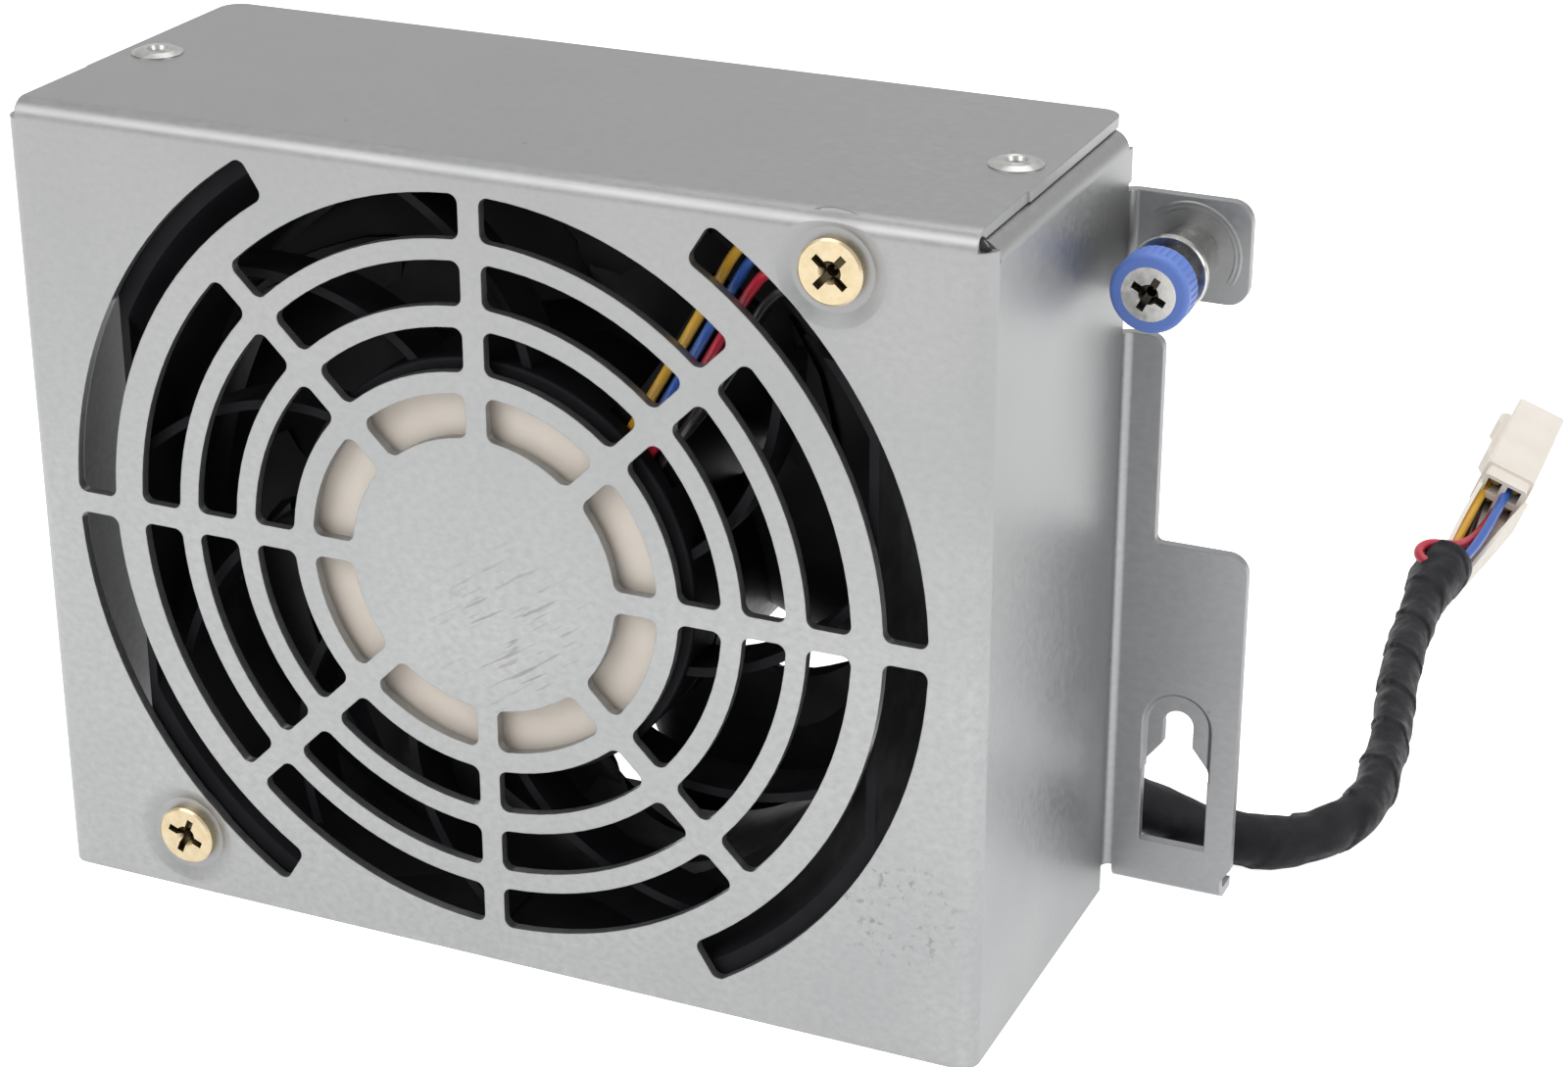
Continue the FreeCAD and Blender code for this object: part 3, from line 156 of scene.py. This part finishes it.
def mesh_of(name, verts, faces, smooth=True):
    """A mesh from points and faces."""
    mesh = bpy.data.meshes.new(name)
    mesh.from_pydata(verts, [], faces)
    mesh.polygons.foreach_set("use_smooth", [smooth] * len(mesh.polygons))
    mesh.update()
    return mesh


def spline_points(name, route):
    """Points read along a smooth NURBS line through the space of the route."""
    curve = bpy.data.curves.new(name, "CURVE")
    curve.dimensions = "3D"
    spline = curve.splines.new("NURBS")
    spline.points.add(len(route) - 1)
    for point, place in zip(spline.points, route):
        point.co = (*place, 1.0)
    spline.order_u = 3
    spline.use_endpoint_u = True
    spline.resolution_u = 24
    helper = bpy.data.objects.new(name, curve)
    bpy.context.scene.collection.objects.link(helper)
    bpy.context.view_layer.update()
    line = bpy.data.meshes.new_from_object(helper)
    points = [vertex.co.copy() for vertex in line.vertices]
    bpy.data.objects.remove(helper)
    bpy.data.meshes.remove(line)
    return points


def evenly(points, step):
    """The same line with its points a fixed step apart."""
    total = sum((b - a).length for a, b in zip(points, points[1:]))
    count = max(2, round(total / step))
    wanted = [total * i / count for i in range(count + 1)]
    out = []
    walked = 0.0
    index = 0
    for mark in wanted:
        while index < len(points) - 2:
            run = (points[index + 1] - points[index]).length
            if walked + run >= mark:
                break
            walked += run
            index += 1
        span = points[index + 1] - points[index]
        out.append(points[index] + span * min(1.0, (mark - walked) / max(span.length, 1e-9)))
    return out


def frames_along(points):
    """Tangent, side and up vectors at each point, turned as little as possible."""
    tangents = []
    for i in range(len(points)):
        before, after = points[max(i - 1, 0)], points[min(i + 1, len(points) - 1)]
        tangents.append((after - before).normalized())
    side = tangents[0].cross(Vector((0, 0, 1)))
    if side.length < 0.1:
        side = tangents[0].cross(Vector((1, 0, 0)))
    side.normalize()
    out = []
    for tangent in tangents:
        side = (side - tangent * side.dot(tangent)).normalized()
        out.append((tangent, side, side.cross(tangent)))
    return out


def tube(name, points, radius_at, sides=24):
    """A closed tube round a line; radius_at(distance, angle) gives its radius."""
    verts, faces = [], []
    walked = 0.0
    for i, (point, (tangent, side, up)) in enumerate(zip(points, frames_along(points))):
        if i:
            walked += (point - points[i - 1]).length
        for k in range(sides):
            angle = 2 * math.pi * k / sides
            out = side * math.cos(angle) + up * math.sin(angle)
            place = point + out * radius_at(walked, angle)
            place.z = max(place.z, FLOOR_GAP)
            verts.append(place)
    for i in range(len(points) - 1):
        for k in range(sides):
            a, b = i * sides + k, i * sides + (k + 1) % sides
            faces.append((a, b, b + sides, a + sides))
    last = (len(points) - 1) * sides
    faces.append(tuple(reversed(range(sides))))
    faces.append(tuple(range(last, last + sides)))
    return mesh_of(name, verts, faces)


# ---- Materials ---------------------------------------------------------------------------
def add_node(tree, kind, inputs=None, **settings):
    """A node with its settings, and each input joined to a socket or set to a value."""
    node = tree.nodes.new(kind)
    for key, value in settings.items():
        setattr(node, key, value)
    for key, value in (inputs or {}).items():
        if isinstance(value, bpy.types.NodeSocket):
            tree.links.new(value, node.inputs[key])
        else:
            node.inputs[key].default_value = value
    return node


class Graph:
    """The node graph of one material, with short calls to add and join nodes."""

    def __init__(self, name, metallic=0.0, **sockets):
        self.material = bpy.data.materials.new(name)
        self.material.use_nodes = True
        self.tree = self.material.node_tree
        self.shader = self.tree.nodes["Principled BSDF"]
        self.shader.inputs["Metallic"].default_value = metallic
        for socket, value in sockets.items():
            self.shader.inputs[socket.replace("_", " ")].default_value = value
        self.place = self.add("ShaderNodeTexCoord").outputs["Object"]

    def add(self, kind, inputs=None, **settings):
        """A node in this material, as add_node makes it."""
        return add_node(self.tree, kind, inputs, **settings)

    def stretched(self, factors, turn=(0, 0, 0)):
        """Object coordinates scaled by the factors, after a turn in degrees."""
        angles = tuple(math.radians(a) for a in turn)
        turned = self.add("ShaderNodeMapping", {"Vector": self.place, "Rotation": angles})
        scaled = {"Vector": turned.outputs[0], "Scale": factors}
        return self.add("ShaderNodeMapping", scaled).outputs[0]

    def noise(self, size, detail=3.0, place=None, rough=0.55):
        """Noise with features of a size in metres."""
        settings = {"Vector": place or self.place, "Scale": 1 / size}
        settings.update({"Detail": detail, "Roughness": rough})
        return self.add("ShaderNodeTexNoise", settings).outputs["Fac"]

    def cells(self, size, feature="F1", place=None):
        """Voronoi distances with cells of a size in metres."""
        settings = {"Vector": place or self.place, "Scale": 1 / size}
        return self.add("ShaderNodeTexVoronoi", settings, feature=feature).outputs["Distance"]

    def grade(self, value, low, high, to_low=0.0, to_high=1.0):
        """The value's range low..high moved to another range, and held at its ends."""
        settings = {"Value": value, "From Min": low, "From Max": high}
        settings.update({"To Min": to_low, "To Max": to_high})
        return self.add("ShaderNodeMapRange", settings).outputs[0]

    def math(self, operation, a, b=0.0):
        """One arithmetic step."""
        return self.add("ShaderNodeMath", {0: a, 1: b}, operation=operation).outputs[0]

    def mix(self, factor, a, b):
        """One colour turning into another."""
        settings = {"Factor": factor}
        for key, value in ((6, a), (7, b)):
            settings[key] = value if isinstance(value, bpy.types.NodeSocket) else (*value, 1.0)
        return self.add("ShaderNodeMix", settings, data_type="RGBA").outputs[2]

    def spot(self, centre, radius, soft=0.5):
        """1 near a point and 0 beyond a radius, with a soft edge."""
        away = self.add("ShaderNodeVectorMath", {0: self.place, 1: centre}, operation="DISTANCE")
        return self.grade(away.outputs["Value"], radius * (1 - soft), radius, 1.0, 0.0)

    def across(self, axis, low, high, to_low=0.0, to_high=1.0):
        """A value that changes along one axis between two places in metres."""
        parts = self.add("ShaderNodeSeparateXYZ", {"Vector": self.place})
        return self.grade(parts.outputs[axis], low, high, to_low, to_high)

    def colour(self, value):
        """Join a colour to the shader."""
        self.tree.links.new(value, self.shader.inputs["Base Color"])

    def rough(self, value):
        """Join a roughness to the shader."""
        self.tree.links.new(value, self.shader.inputs["Roughness"])

    def bump(self, height, strength, depth, worn=0.0):
        """Relief from a height of 0 to 1 over a depth in metres, with edges rounded by a radius."""
        settings = {"Height": height, "Strength": strength, "Distance": depth}
        if worn:
            settings["Normal"] = self.add("ShaderNodeBevel", {"Radius": worn}, samples=4).outputs[0]
        node = self.add("ShaderNodeBump", settings)
        self.tree.links.new(node.outputs[0], self.shader.inputs["Normal"])


def zinc_sheet():
    """Zinc-plated sheet: fine spangle, slight rolling grain, rub marks, a few specks and painted
    shade.
    """
    g = Graph("zinc_sheet", metallic=0.9)
    grain = g.noise(0.0008, 4.0, g.stretched((0.75, 1.0, 1.0)))
    fine = g.noise(0.00035, 2.0)
    cloud = g.noise(0.028, 2.0)
    base = g.mix(g.grade(grain, 0.3, 0.7), (0.325, 0.330, 0.333), (0.405, 0.408, 0.404))
    base = g.mix(g.grade(cloud, 0.35, 0.7, 0.0, 0.4), base, (0.305, 0.309, 0.317))
    # Painted shade: the flange beyond the side wall is darker.
    base = g.mix(g.across("X", *FLANGE_SHADE_X, 0.0, 0.45), base, (0.215, 0.215, 0.232))
    # Painted shade: the sheet darkens towards the top.
    base = g.mix(g.across("Z", *TOP_SHADE_Z, 0.0, 0.5), base, (0.285, 0.288, 0.281))
    streaks = g.noise(0.0006, 3.0, g.stretched((1.0, 1.0, 0.09), (0, -57, 0)))
    rub = g.math("MULTIPLY", g.grade(streaks, 0.575, 0.64), g.spot(RUB_AT, 0.0125, 0.7))
    scuff = g.math("MULTIPLY", g.grade(g.noise(0.0012, 3.0), 0.58, 0.66), g.spot(SCUFF_AT, 0.009))
    marks = g.math("MAXIMUM", rub, scuff)
    base = g.mix(g.math("MULTIPLY", marks, 0.55), base, (0.16, 0.155, 0.15))
    # Painted shade round the heads of the fan screws, in their dimples.
    for node in ("fan_screw_upper", "fan_screw_lower"):
        lo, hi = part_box(node)
        screw_shade = g.spot(((lo.x + hi.x) / 2, 0, (lo.z + hi.z) / 2), 0.0070, 0.3)
        base = g.mix(g.math("MULTIPLY", screw_shade, 0.45), base, (0.25, 0.25, 0.255))
    specks = g.grade(g.cells(0.0085), 0.018, 0.03, 1.0, 0.0)
    base = g.mix(g.math("MULTIPLY", specks, 0.6), base, (0.15, 0.15, 0.15))
    g.colour(base)
    g.rough(g.grade(g.math("ADD", grain, g.math("MULTIPLY", cloud, 0.5)), 0.4, 1.1, 0.34, 0.48))
    g.bump(g.math("ADD", fine, g.math("MULTIPLY", marks, -0.5)), 0.14, 0.00004, worn=0.00022)
    return g.material


def bright_metal(name, dark, light, rough, size=0.0012, metallic=1.0, recesses=()):
    """Plated or machined metal: cloudy polish, fine tool marks and painted shade in driver
    recesses.
    """
    g = Graph(name, metallic=metallic)
    cloud = g.noise(size, 3.0)
    base = g.mix(g.grade(cloud, 0.3, 0.7), dark, light)
    for node in recesses:
        lo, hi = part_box(node)
        front = ((lo.x + hi.x) / 2, lo.y, (lo.z + hi.z) / 2)
        # Painted shade: darker deeper inside each driver recess.
        near = g.spot(front, 0.0033, 0.3)
        deep = g.across("Y", lo.y + 0.00022, lo.y + 0.0008)
        recess_shade = g.math("MULTIPLY", near, g.math("MULTIPLY", deep, 0.93))
        base = g.mix(recess_shade, base, (0.02, 0.013, 0.006))
    g.colour(base)
    g.rough(g.grade(cloud, 0.3, 0.7, rough[0], rough[1]))
    g.bump(g.noise(size * 0.25, 2.0), 0.1, 0.00003)
    return g.material


def moulding(name, dark, light, rough, grain=0.0004, depth=0.00002, **sockets):
    """Moulded plastic: a faint colour drift and a fine texture."""
    g = Graph(name, **sockets)
    drift = g.noise(0.009, 3.0)
    g.colour(g.mix(g.grade(drift, 0.3, 0.7), dark, light))
    g.rough(g.grade(g.noise(0.004, 2.0), 0.3, 0.7, rough[0], rough[1]))
    g.bump(g.noise(grain, 2.0), 0.25, depth)
    return g.material


def label_film():
    """Blank cream label: film over paper, slightly uneven."""
    g = Graph("label_film")
    paper = g.mix(g.grade(g.noise(0.006, 2.0), 0.3, 0.7), (0.76, 0.685, 0.60), (0.82, 0.75, 0.665))
    g.colour(paper)
    g.rough(g.grade(g.noise(0.002, 2.0), 0.3, 0.7, 0.42, 0.56))
    g.bump(g.noise(0.0006, 2.0), 0.15, 0.00002)
    return g.material


def tape_black():
    """Black cloth-backed tape: wound creases with a soft satin sheen."""
    g = Graph("tape_black", Specular_IOR_Level=0.18)
    drift = g.noise(0.003, 4.0)
    g.colour(g.mix(g.grade(drift, 0.35, 0.7), (0.006, 0.006, 0.008), (0.017, 0.016, 0.020)))
    g.rough(g.grade(g.noise(0.0015, 3.0), 0.3, 0.7, 0.42, 0.68))
    g.bump(g.math("ADD", g.noise(0.0011, 4.0), g.noise(0.0003, 2.0)), 0.45, 0.00012)
    return g.material


def circuit_board():
    """Green lacquered board with paler tracks."""
    g = Graph("board_green", Roughness=0.35)
    tracks = g.grade(g.cells(0.0022, "DISTANCE_TO_EDGE"), 0.04, 0.07, 1.0, 0.0)
    g.colour(g.mix(tracks, (0.01, 0.10, 0.045), (0.03, 0.19, 0.08)))
    g.bump(tracks, 0.3, 0.00004)
    return g.material


def copper_winding():
    """Enamelled copper wire, wound turn beside turn."""
    g = Graph("copper_wire", metallic=0.85)
    turns = g.add("ShaderNodeTexWave", {"Vector": g.place, "Scale": 900.0, "Distortion": 1.5},
                  bands_direction="Y").outputs["Fac"]
    g.colour(g.mix(turns, (0.30, 0.10, 0.03), (0.62, 0.26, 0.09)))
    g.rough(g.grade(turns, 0.0, 1.0, 0.45, 0.28))
    g.bump(turns, 0.5, 0.0001)
    return g.material


def make_materials():
    """Every finish by its slot name in the record."""
    wire = {"Coat_Weight": 0.15}
    dull = {"Specular_IOR_Level": 0.13}
    black = ((0.006, 0.006, 0.008), (0.012, 0.012, 0.014))
    return {
        "zinc_sheet": zinc_sheet(),
        "rivet_metal": bright_metal(
            "rivet_metal", (0.38, 0.38, 0.37), (0.52, 0.52, 0.50), (0.25, 0.42)),
        "brass_screw": bright_metal(
            "brass_screw", (0.50, 0.41, 0.26), (0.61, 0.51, 0.345), (0.22, 0.36),
            recesses=("fan_screw_upper", "fan_screw_lower")),
        "black_plastic": moulding("black_plastic", *black, (0.55, 0.70), **dull),
        "rotor_plastic": moulding("rotor_plastic", *black, (0.36, 0.50), **dull),
        "label_film": label_film(),
        "bearing_steel": bright_metal(
            "bearing_steel", (0.52, 0.52, 0.53), (0.62, 0.62, 0.63), (0.15, 0.25)),
        "sleeve_brass": bright_metal(
            "sleeve_brass", (0.52, 0.39, 0.17), (0.62, 0.48, 0.24), (0.25, 0.38)),
        "core_steel": bright_metal(
            "core_steel", (0.22, 0.23, 0.25), (0.32, 0.33, 0.35), (0.4, 0.55)),
        "copper_wire": copper_winding(),
        "board_green": circuit_board(),
        "yoke_steel": bright_metal(
            "yoke_steel", (0.38, 0.39, 0.41), (0.50, 0.51, 0.53), (0.3, 0.45)),
        "magnet_black": moulding(
            "magnet_black", (0.03, 0.03, 0.032), (0.06, 0.06, 0.063), (0.6, 0.75)),
        "shaft_steel": bright_metal(
            "shaft_steel", (0.54, 0.54, 0.55), (0.66, 0.66, 0.67), (0.12, 0.22)),
        "plated_steel": bright_metal(
            "plated_steel", (0.40, 0.40, 0.39), (0.56, 0.55, 0.53), (0.16, 0.30),
            recesses=("thumb_screw",)),
        "cap_blue": moulding("cap_blue", (0.105, 0.195, 0.56), (0.125, 0.225, 0.62), (0.40, 0.52)),
        "tape_black": tape_black(),
        "wire_yellow": moulding(
            "wire_yellow", (0.62, 0.33, 0.02), (0.74, 0.42, 0.04), (0.3, 0.4), **wire),
        "wire_blue": moulding(
            "wire_blue", (0.02, 0.09, 0.38), (0.04, 0.13, 0.48), (0.3, 0.4), **wire),
        "wire_red": moulding(
            "wire_red", (0.42, 0.01, 0.03), (0.55, 0.02, 0.05), (0.3, 0.4), **wire),
        "wire_black": moulding(
            "wire_black", (0.010, 0.010, 0.012), (0.02, 0.02, 0.022), (0.3, 0.4), **wire),
        "plug_cream": moulding("plug_cream", (0.78, 0.72, 0.64), (0.84, 0.79, 0.72), (0.38, 0.5)),
    }


def dress(piece, slot):
    """Give a piece its finish."""
    piece.data.materials.clear()
    piece.data.materials.append(materials[slot])
    return piece


# ---- The taped cable ---------------------------------------------------------------------
def sleeve_radius(length):
    """Radius of the tape sleeve: wound steps, soft lumps, thin in the middle, wide at its end."""
    def radius(walked, angle):
        share = walked / length
        lay = (walked / TAPE_PITCH - angle / (2 * math.pi)) % 1.0
        wound = TAPE_STEP * (0.5 - lay)
        x, z = math.cos(angle), math.sin(angle)
        lumps = noise.noise(Vector((walked / 0.006, x, z))) * 0.00038
        lumps += noise.noise(Vector((walked / 0.0022, 2 * x, 7 + 2 * z))) * 0.00016
        loop = 0.00045 * math.exp(-((share - 0.47) / 0.10) ** 2)
        slim = -0.00020 * math.exp(-((share - 0.75) / 0.12) ** 2)
        flare = 0.0014 * max(0.0, min(1.0, (share - 0.93) / 0.05)) * (0.6 + 0.4 * abs(x))
        return CABLE_D / 2 + wound + lumps + loop + slim + flare
    return radius


def build_trough():
    """Open tail of the plug's housing: a tapered channel that the wires lie in."""
    steps = 10
    ring = 8
    verts, faces = [], []
    for i in range(steps + 1):
        t = i / steps
        roll = math.radians(PLUG_ROLL) * t
        half = TROUGH_HALF[0] + TROUGH_HALF[1] * t
        high = TROUGH_HIGH[0] + TROUGH_HIGH[1] * t ** 1.4
        inner = half - TROUGH_WALL
        middle = Vector((TROUGH_X[0] + TROUGH_X[1] * t, TROUGH_Y[0] + TROUGH_Y[1] * t,
                         FLOOR_GAP + half * math.sin(roll)))
        right = Vector((math.cos(roll), 0, -math.sin(roll)))
        up = Vector((math.sin(roll), 0, math.cos(roll)))
        for u, v in ((-half, high), (-half, 0), (half, 0), (half, high), (inner, high),
                     (inner, TROUGH_WALL), (-inner, TROUGH_WALL), (-inner, high)):
            verts.append(middle + right * u + up * v)
    for i in range(steps):
        for k in range(ring):
            a, b = i * ring + k, i * ring + (k + 1) % ring
            faces.append((a, a + ring, b + ring, b))
    last = steps * ring
    for quad in ((0, 1, 6, 7), (1, 2, 5, 6), (2, 3, 4, 5)):
        faces.append(quad)
        faces.append(tuple(last + k for k in reversed(quad)))
    trough = add_object("plug_trough", mesh_of("plug_trough", verts, faces, smooth=False))
    return dress(trough, "plug_cream")


def build_cable():
    """The taped sleeve and the four wires that leave it for the plug."""
    line = evenly(spline_points("cable_line", CABLE_ROUTE), 0.0005)
    length = sum((b - a).length for a, b in zip(line, line[1:]))
    sleeve = add_object("cable_sleeve", tube("cable_sleeve", line, sleeve_radius(length), 40))
    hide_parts("cable")
    dress(sleeve, "tape_black")
    for name, route in TAIL_ROUTES.items():
        points = evenly(spline_points("tail_line_" + name, route), 0.0004)
        wire = add_object("wire_" + name, tube("wire_" + name, points, lambda s, a: WIRE_D / 2, 16))
        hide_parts("tail_" + name)
        dress(wire, "wire_" + name)
    build_trough()


# ---- Impeller: rotor cup with thin, strongly twisted blades ------------------------------
def blend(radius, values):
    """A value read off the blade's three sections."""
    r0, r1, r2 = (row[0] for row in BLADE_ROWS)
    if radius < r1:
        return values[0] + (values[1] - values[0]) * (radius - r0) / (r1 - r0)
    return values[1] + (values[2] - values[1]) * (radius - r1) / (r2 - r1)


def blade_point(radius, share, angle):
    """A point of a blade's middle surface, at a true radius and a share of its chord."""
    flat = radius
    for _ in range(6):
        turn, chord, camber, sweep = (
            blend(flat, [row[i] for row in BLADE_ROWS]) for i in range(1, 5))
        along = (share - 0.5) * chord
        bow = 4 * camber * share * (1 - share)
        lean = math.radians(turn)
        aside = along * math.sin(lean) + bow * math.cos(lean)
        flat = math.sqrt(max(radius ** 2 - aside ** 2, 1.0))
    y = BLADE_MID + along * math.cos(lean) - bow * math.sin(lean)
    place = math.radians(angle + sweep) - math.atan2(aside, flat)
    y = max(BLADE_Y0, min(BLADE_Y1, y))
    return Vector((radius * math.cos(place), y, radius * math.sin(place)))


def lathe(shape, profile, steps=96):
    """Rings of faces round the fan's axis, from pairs of radius and Y."""
    rings = []
    for k in range(steps):
        angle = 2 * math.pi * k / steps
        rings.append([
            shape.verts.new((r * math.cos(angle), y, FAN_Z + r * math.sin(angle)))
            for r, y in profile])
    for k in range(steps):
        a, b = rings[k], rings[(k + 1) % steps]
        for j in range(len(profile) - 1):
            shape.faces.new((a[j], b[j], b[j + 1], a[j + 1]))


def build_impeller():
    """Rotor cup and blades in one piece."""
    lo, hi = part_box("impeller")
    yoke_lo, yoke_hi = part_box("rotor_yoke")
    hub = (yoke_hi.x - yoke_lo.x) / 2 + 0.0012
    shape = bmesh.new()
    lathe(shape, [
        (hub - 0.0012, lo.y), (hub, lo.y), (hub, hi.y - 0.0022), (hub - 0.0006, hi.y - 0.0007),
        (hub - 0.0022, hi.y), (0.0085, hi.y), (0.0078, hi.y - 0.0006), (0.0040, hi.y - 0.0006),
        (0.0035, hi.y - 0.0002), (0.0016, hi.y - 0.0002), (0.0016, hi.y - 0.0022),
        (hub - 0.0012, hi.y - 0.0022), (hub - 0.0012, lo.y),
    ])
    across, out = 26, 12
    for k in range(BLADES):
        grid = []
        for j in range(out + 1):
            radius = (hub - 0.0003 + (BLADE_TIP - hub + 0.0003) * j / out) / MM
            row = []
            for i in range(across + 1):
                point = blade_point(radius, i / across, BLADE_PHASE + 360 / BLADES * k) * MM
                row.append(shape.verts.new(point + Vector((0, 0, FAN_Z))))
            grid.append(row)
        for j in range(out):
            for i in range(across):
                shape.faces.new((grid[j][i], grid[j][i + 1], grid[j + 1][i + 1], grid[j + 1][i]))
    mesh = bpy.data.meshes.new("impeller_blades")
    shape.to_mesh(mesh)
    shape.free()
    mesh.polygons.foreach_set("use_smooth", [True] * len(mesh.polygons))
    made = add_object("impeller_blades", mesh, "rotor")
    solid = made.modifiers.new("thickness", "SOLIDIFY")
    solid.thickness = BLADE_THICK
    solid.offset = 0.0
    solid.use_even_offset = False
    edges = made.modifiers.new("crisp_edges", "EDGE_SPLIT")
    edges.split_angle = math.radians(40)
    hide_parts("impeller")
    dress(made, "rotor_plastic")


# ---- Thumbscrew's spring -----------------------------------------------------------------
def build_spring():
    """Coil spring in the ferrule, wound from one end of its space to the other."""
    lo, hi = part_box("thumb_spring")
    middle = (lo + hi) / 2
    thick = SPRING_WIRE_R
    radius = (hi.x - lo.x) / 2 - thick - SPRING_CLEAR
    steps = 28
    count = SPRING_TURNS * steps
    points = []
    for i in range(count + 1):
        angle = 2 * math.pi * i / steps
        x, z = middle.x + radius * math.cos(angle), middle.z + radius * math.sin(angle)
        points.append(Vector((x, lo.y + thick + (hi.y - lo.y - 2 * thick) * i / count, z)))
    spring = add_object("spring_coil", tube("spring_coil", points, lambda s, a: thick, 10))
    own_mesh(spring)
    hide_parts("thumb_spring")
    dress(spring, "shaft_steel")


# ---- Raised arcs pressed into the tab beside the thumbscrew's ferrule --------------------
def build_tab_arcs():
    """Two faint raised arcs, left by the tool that clinched the ferrule."""
    lo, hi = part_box("thumb_ferrule")
    centre = (lo + hi) / 2
    face = hi.y - CLINCH_AND_SHEET
    steps = 60
    start, end = (math.radians(turn) for turn in ARC_ENDS)
    verts, faces = [], []
    for k in range(steps + 1):
        angle = start + (end - start) * k / steps
        fade = min(1.0, k / 8, (steps - k) / 8)
        for radius, height in ARC_PROFILE:
            rise = -ARC_SINK + (height + ARC_SINK) * fade
            verts.append((centre.x + radius * MM * math.cos(angle), face - rise * MM,
                          centre.z + radius * MM * math.sin(angle)))
    n = len(ARC_PROFILE)
    for k in range(steps):
        for j in range(n - 1):
            a, b = k * n + j, (k + 1) * n + j
            faces.append((a, a + 1, b + 1, b))
    dress(add_object("clinch_arcs", mesh_of("clinch_arcs", verts, faces)), "zinc_sheet")


# ---- Camera, floor and light -------------------------------------------------------------
def add_camera():
    """A long lens above and to the right of the front panel."""
    data = bpy.data.cameras.new("camera")
    data.sensor_width = 36.0
    data.lens = CAMERA_LENS
    data.shift_x, data.shift_y = CAMERA_SHIFT
    data.clip_start = 0.01
    camera = bpy.data.objects.new("camera", data)
    bpy.context.scene.collection.objects.link(camera)
    eye, target = Vector(CAMERA_EYE), Vector(CAMERA_TARGET)
    camera.location = eye
    camera.rotation_euler = (target - eye).to_track_quat("-Z", "Y").to_euler()
    bpy.context.scene.camera = camera


def floor_material():
    """White floor that keeps a soft shadow and is seen as plain white where it is lit."""
    g = Graph("floor", Roughness=0.9, Specular_IOR_Level=0.0)
    rays = g.add("ShaderNodeLightPath").outputs
    seen = g.math("MAXIMUM", rays["Is Camera Ray"], rays["Is Glossy Ray"])
    texture = g.add("ShaderNodeTexNoise", {"Scale": 30.0}).outputs["Fac"]
    g.colour(g.grade(texture, 0.0, 1.0, 0.80, 0.82))
    glow = g.math("MULTIPLY", seen, FLOOR_GLOW)
    g.tree.links.new(glow, g.shader.inputs["Emission Strength"])
    g.shader.inputs["Emission Color"].default_value = (1, 1, 1, 1)
    return g.material


def add_floor():
    """The plain floor that the module stands on."""
    half = FLOOR_HALF
    corners = [(-half, -half, 0), (half, -half, 0), (half, half, 0), (-half, half, 0)]
    mesh = mesh_of("floor", corners, [(0, 1, 2, 3)])
    floor = bpy.data.objects.new("floor", mesh)
    bpy.context.scene.collection.objects.link(floor)
    mesh.materials.append(floor_material())


def add_light(name, place, target, size, power):
    """A soft square lamp aimed at a point."""
    data = bpy.data.lights.new(name, "AREA")
    data.size = size
    data.energy = power
    lamp = bpy.data.objects.new(name, data)
    bpy.context.scene.collection.objects.link(lamp)
    lamp.location = place
    aim = Vector(target) - Vector(place)
    lamp.rotation_euler = aim.to_track_quat("-Z", "Y").to_euler()


def add_world():
    """An even room: pale to the eye and in reflections, dimmer as a source of light."""
    world = bpy.data.worlds.new("world")
    bpy.context.scene.world = world
    world.use_nodes = True
    tree = world.node_tree
    light = tree.nodes["Background"]
    light.inputs["Color"].default_value = (1, 1, 1, 1)
    light.inputs["Strength"].default_value = WORLD_LIGHT
    pale = add_node(tree, "ShaderNodeBackground", {"Strength": 1.0})
    rays = add_node(tree, "ShaderNodeLightPath").outputs
    seen_in = add_node(
        tree, "ShaderNodeMath", {0: rays["Is Glossy Ray"], 1: rays["Is Transmission Ray"]},
        operation="MAXIMUM").outputs[0]
    seen = add_node(
        tree, "ShaderNodeMath", {0: rays["Is Camera Ray"], 1: seen_in},
        operation="MAXIMUM").outputs[0]
    either = add_node(
        tree, "ShaderNodeMixShader", {0: seen, 1: light.outputs[0], 2: pale.outputs[0]})
    tree.links.new(either.outputs[0], tree.nodes["World Output"].inputs[0])


def build_stage():
    """Camera, floor, lamps and world."""
    add_camera()
    add_floor()
    add_world()
    for lamp in LAMPS:
        add_light(*lamp)


bpy.context.scene.view_settings.view_transform = "Standard"
build_stage()
materials = make_materials()
for part in frame["record"]["subparts"]:
    dress(frame["nodes"][part["node"]], part["material_slot"])
build_cable()
build_impeller()
build_spring()
build_tab_arcs()

bpy.context.view_layer.update()
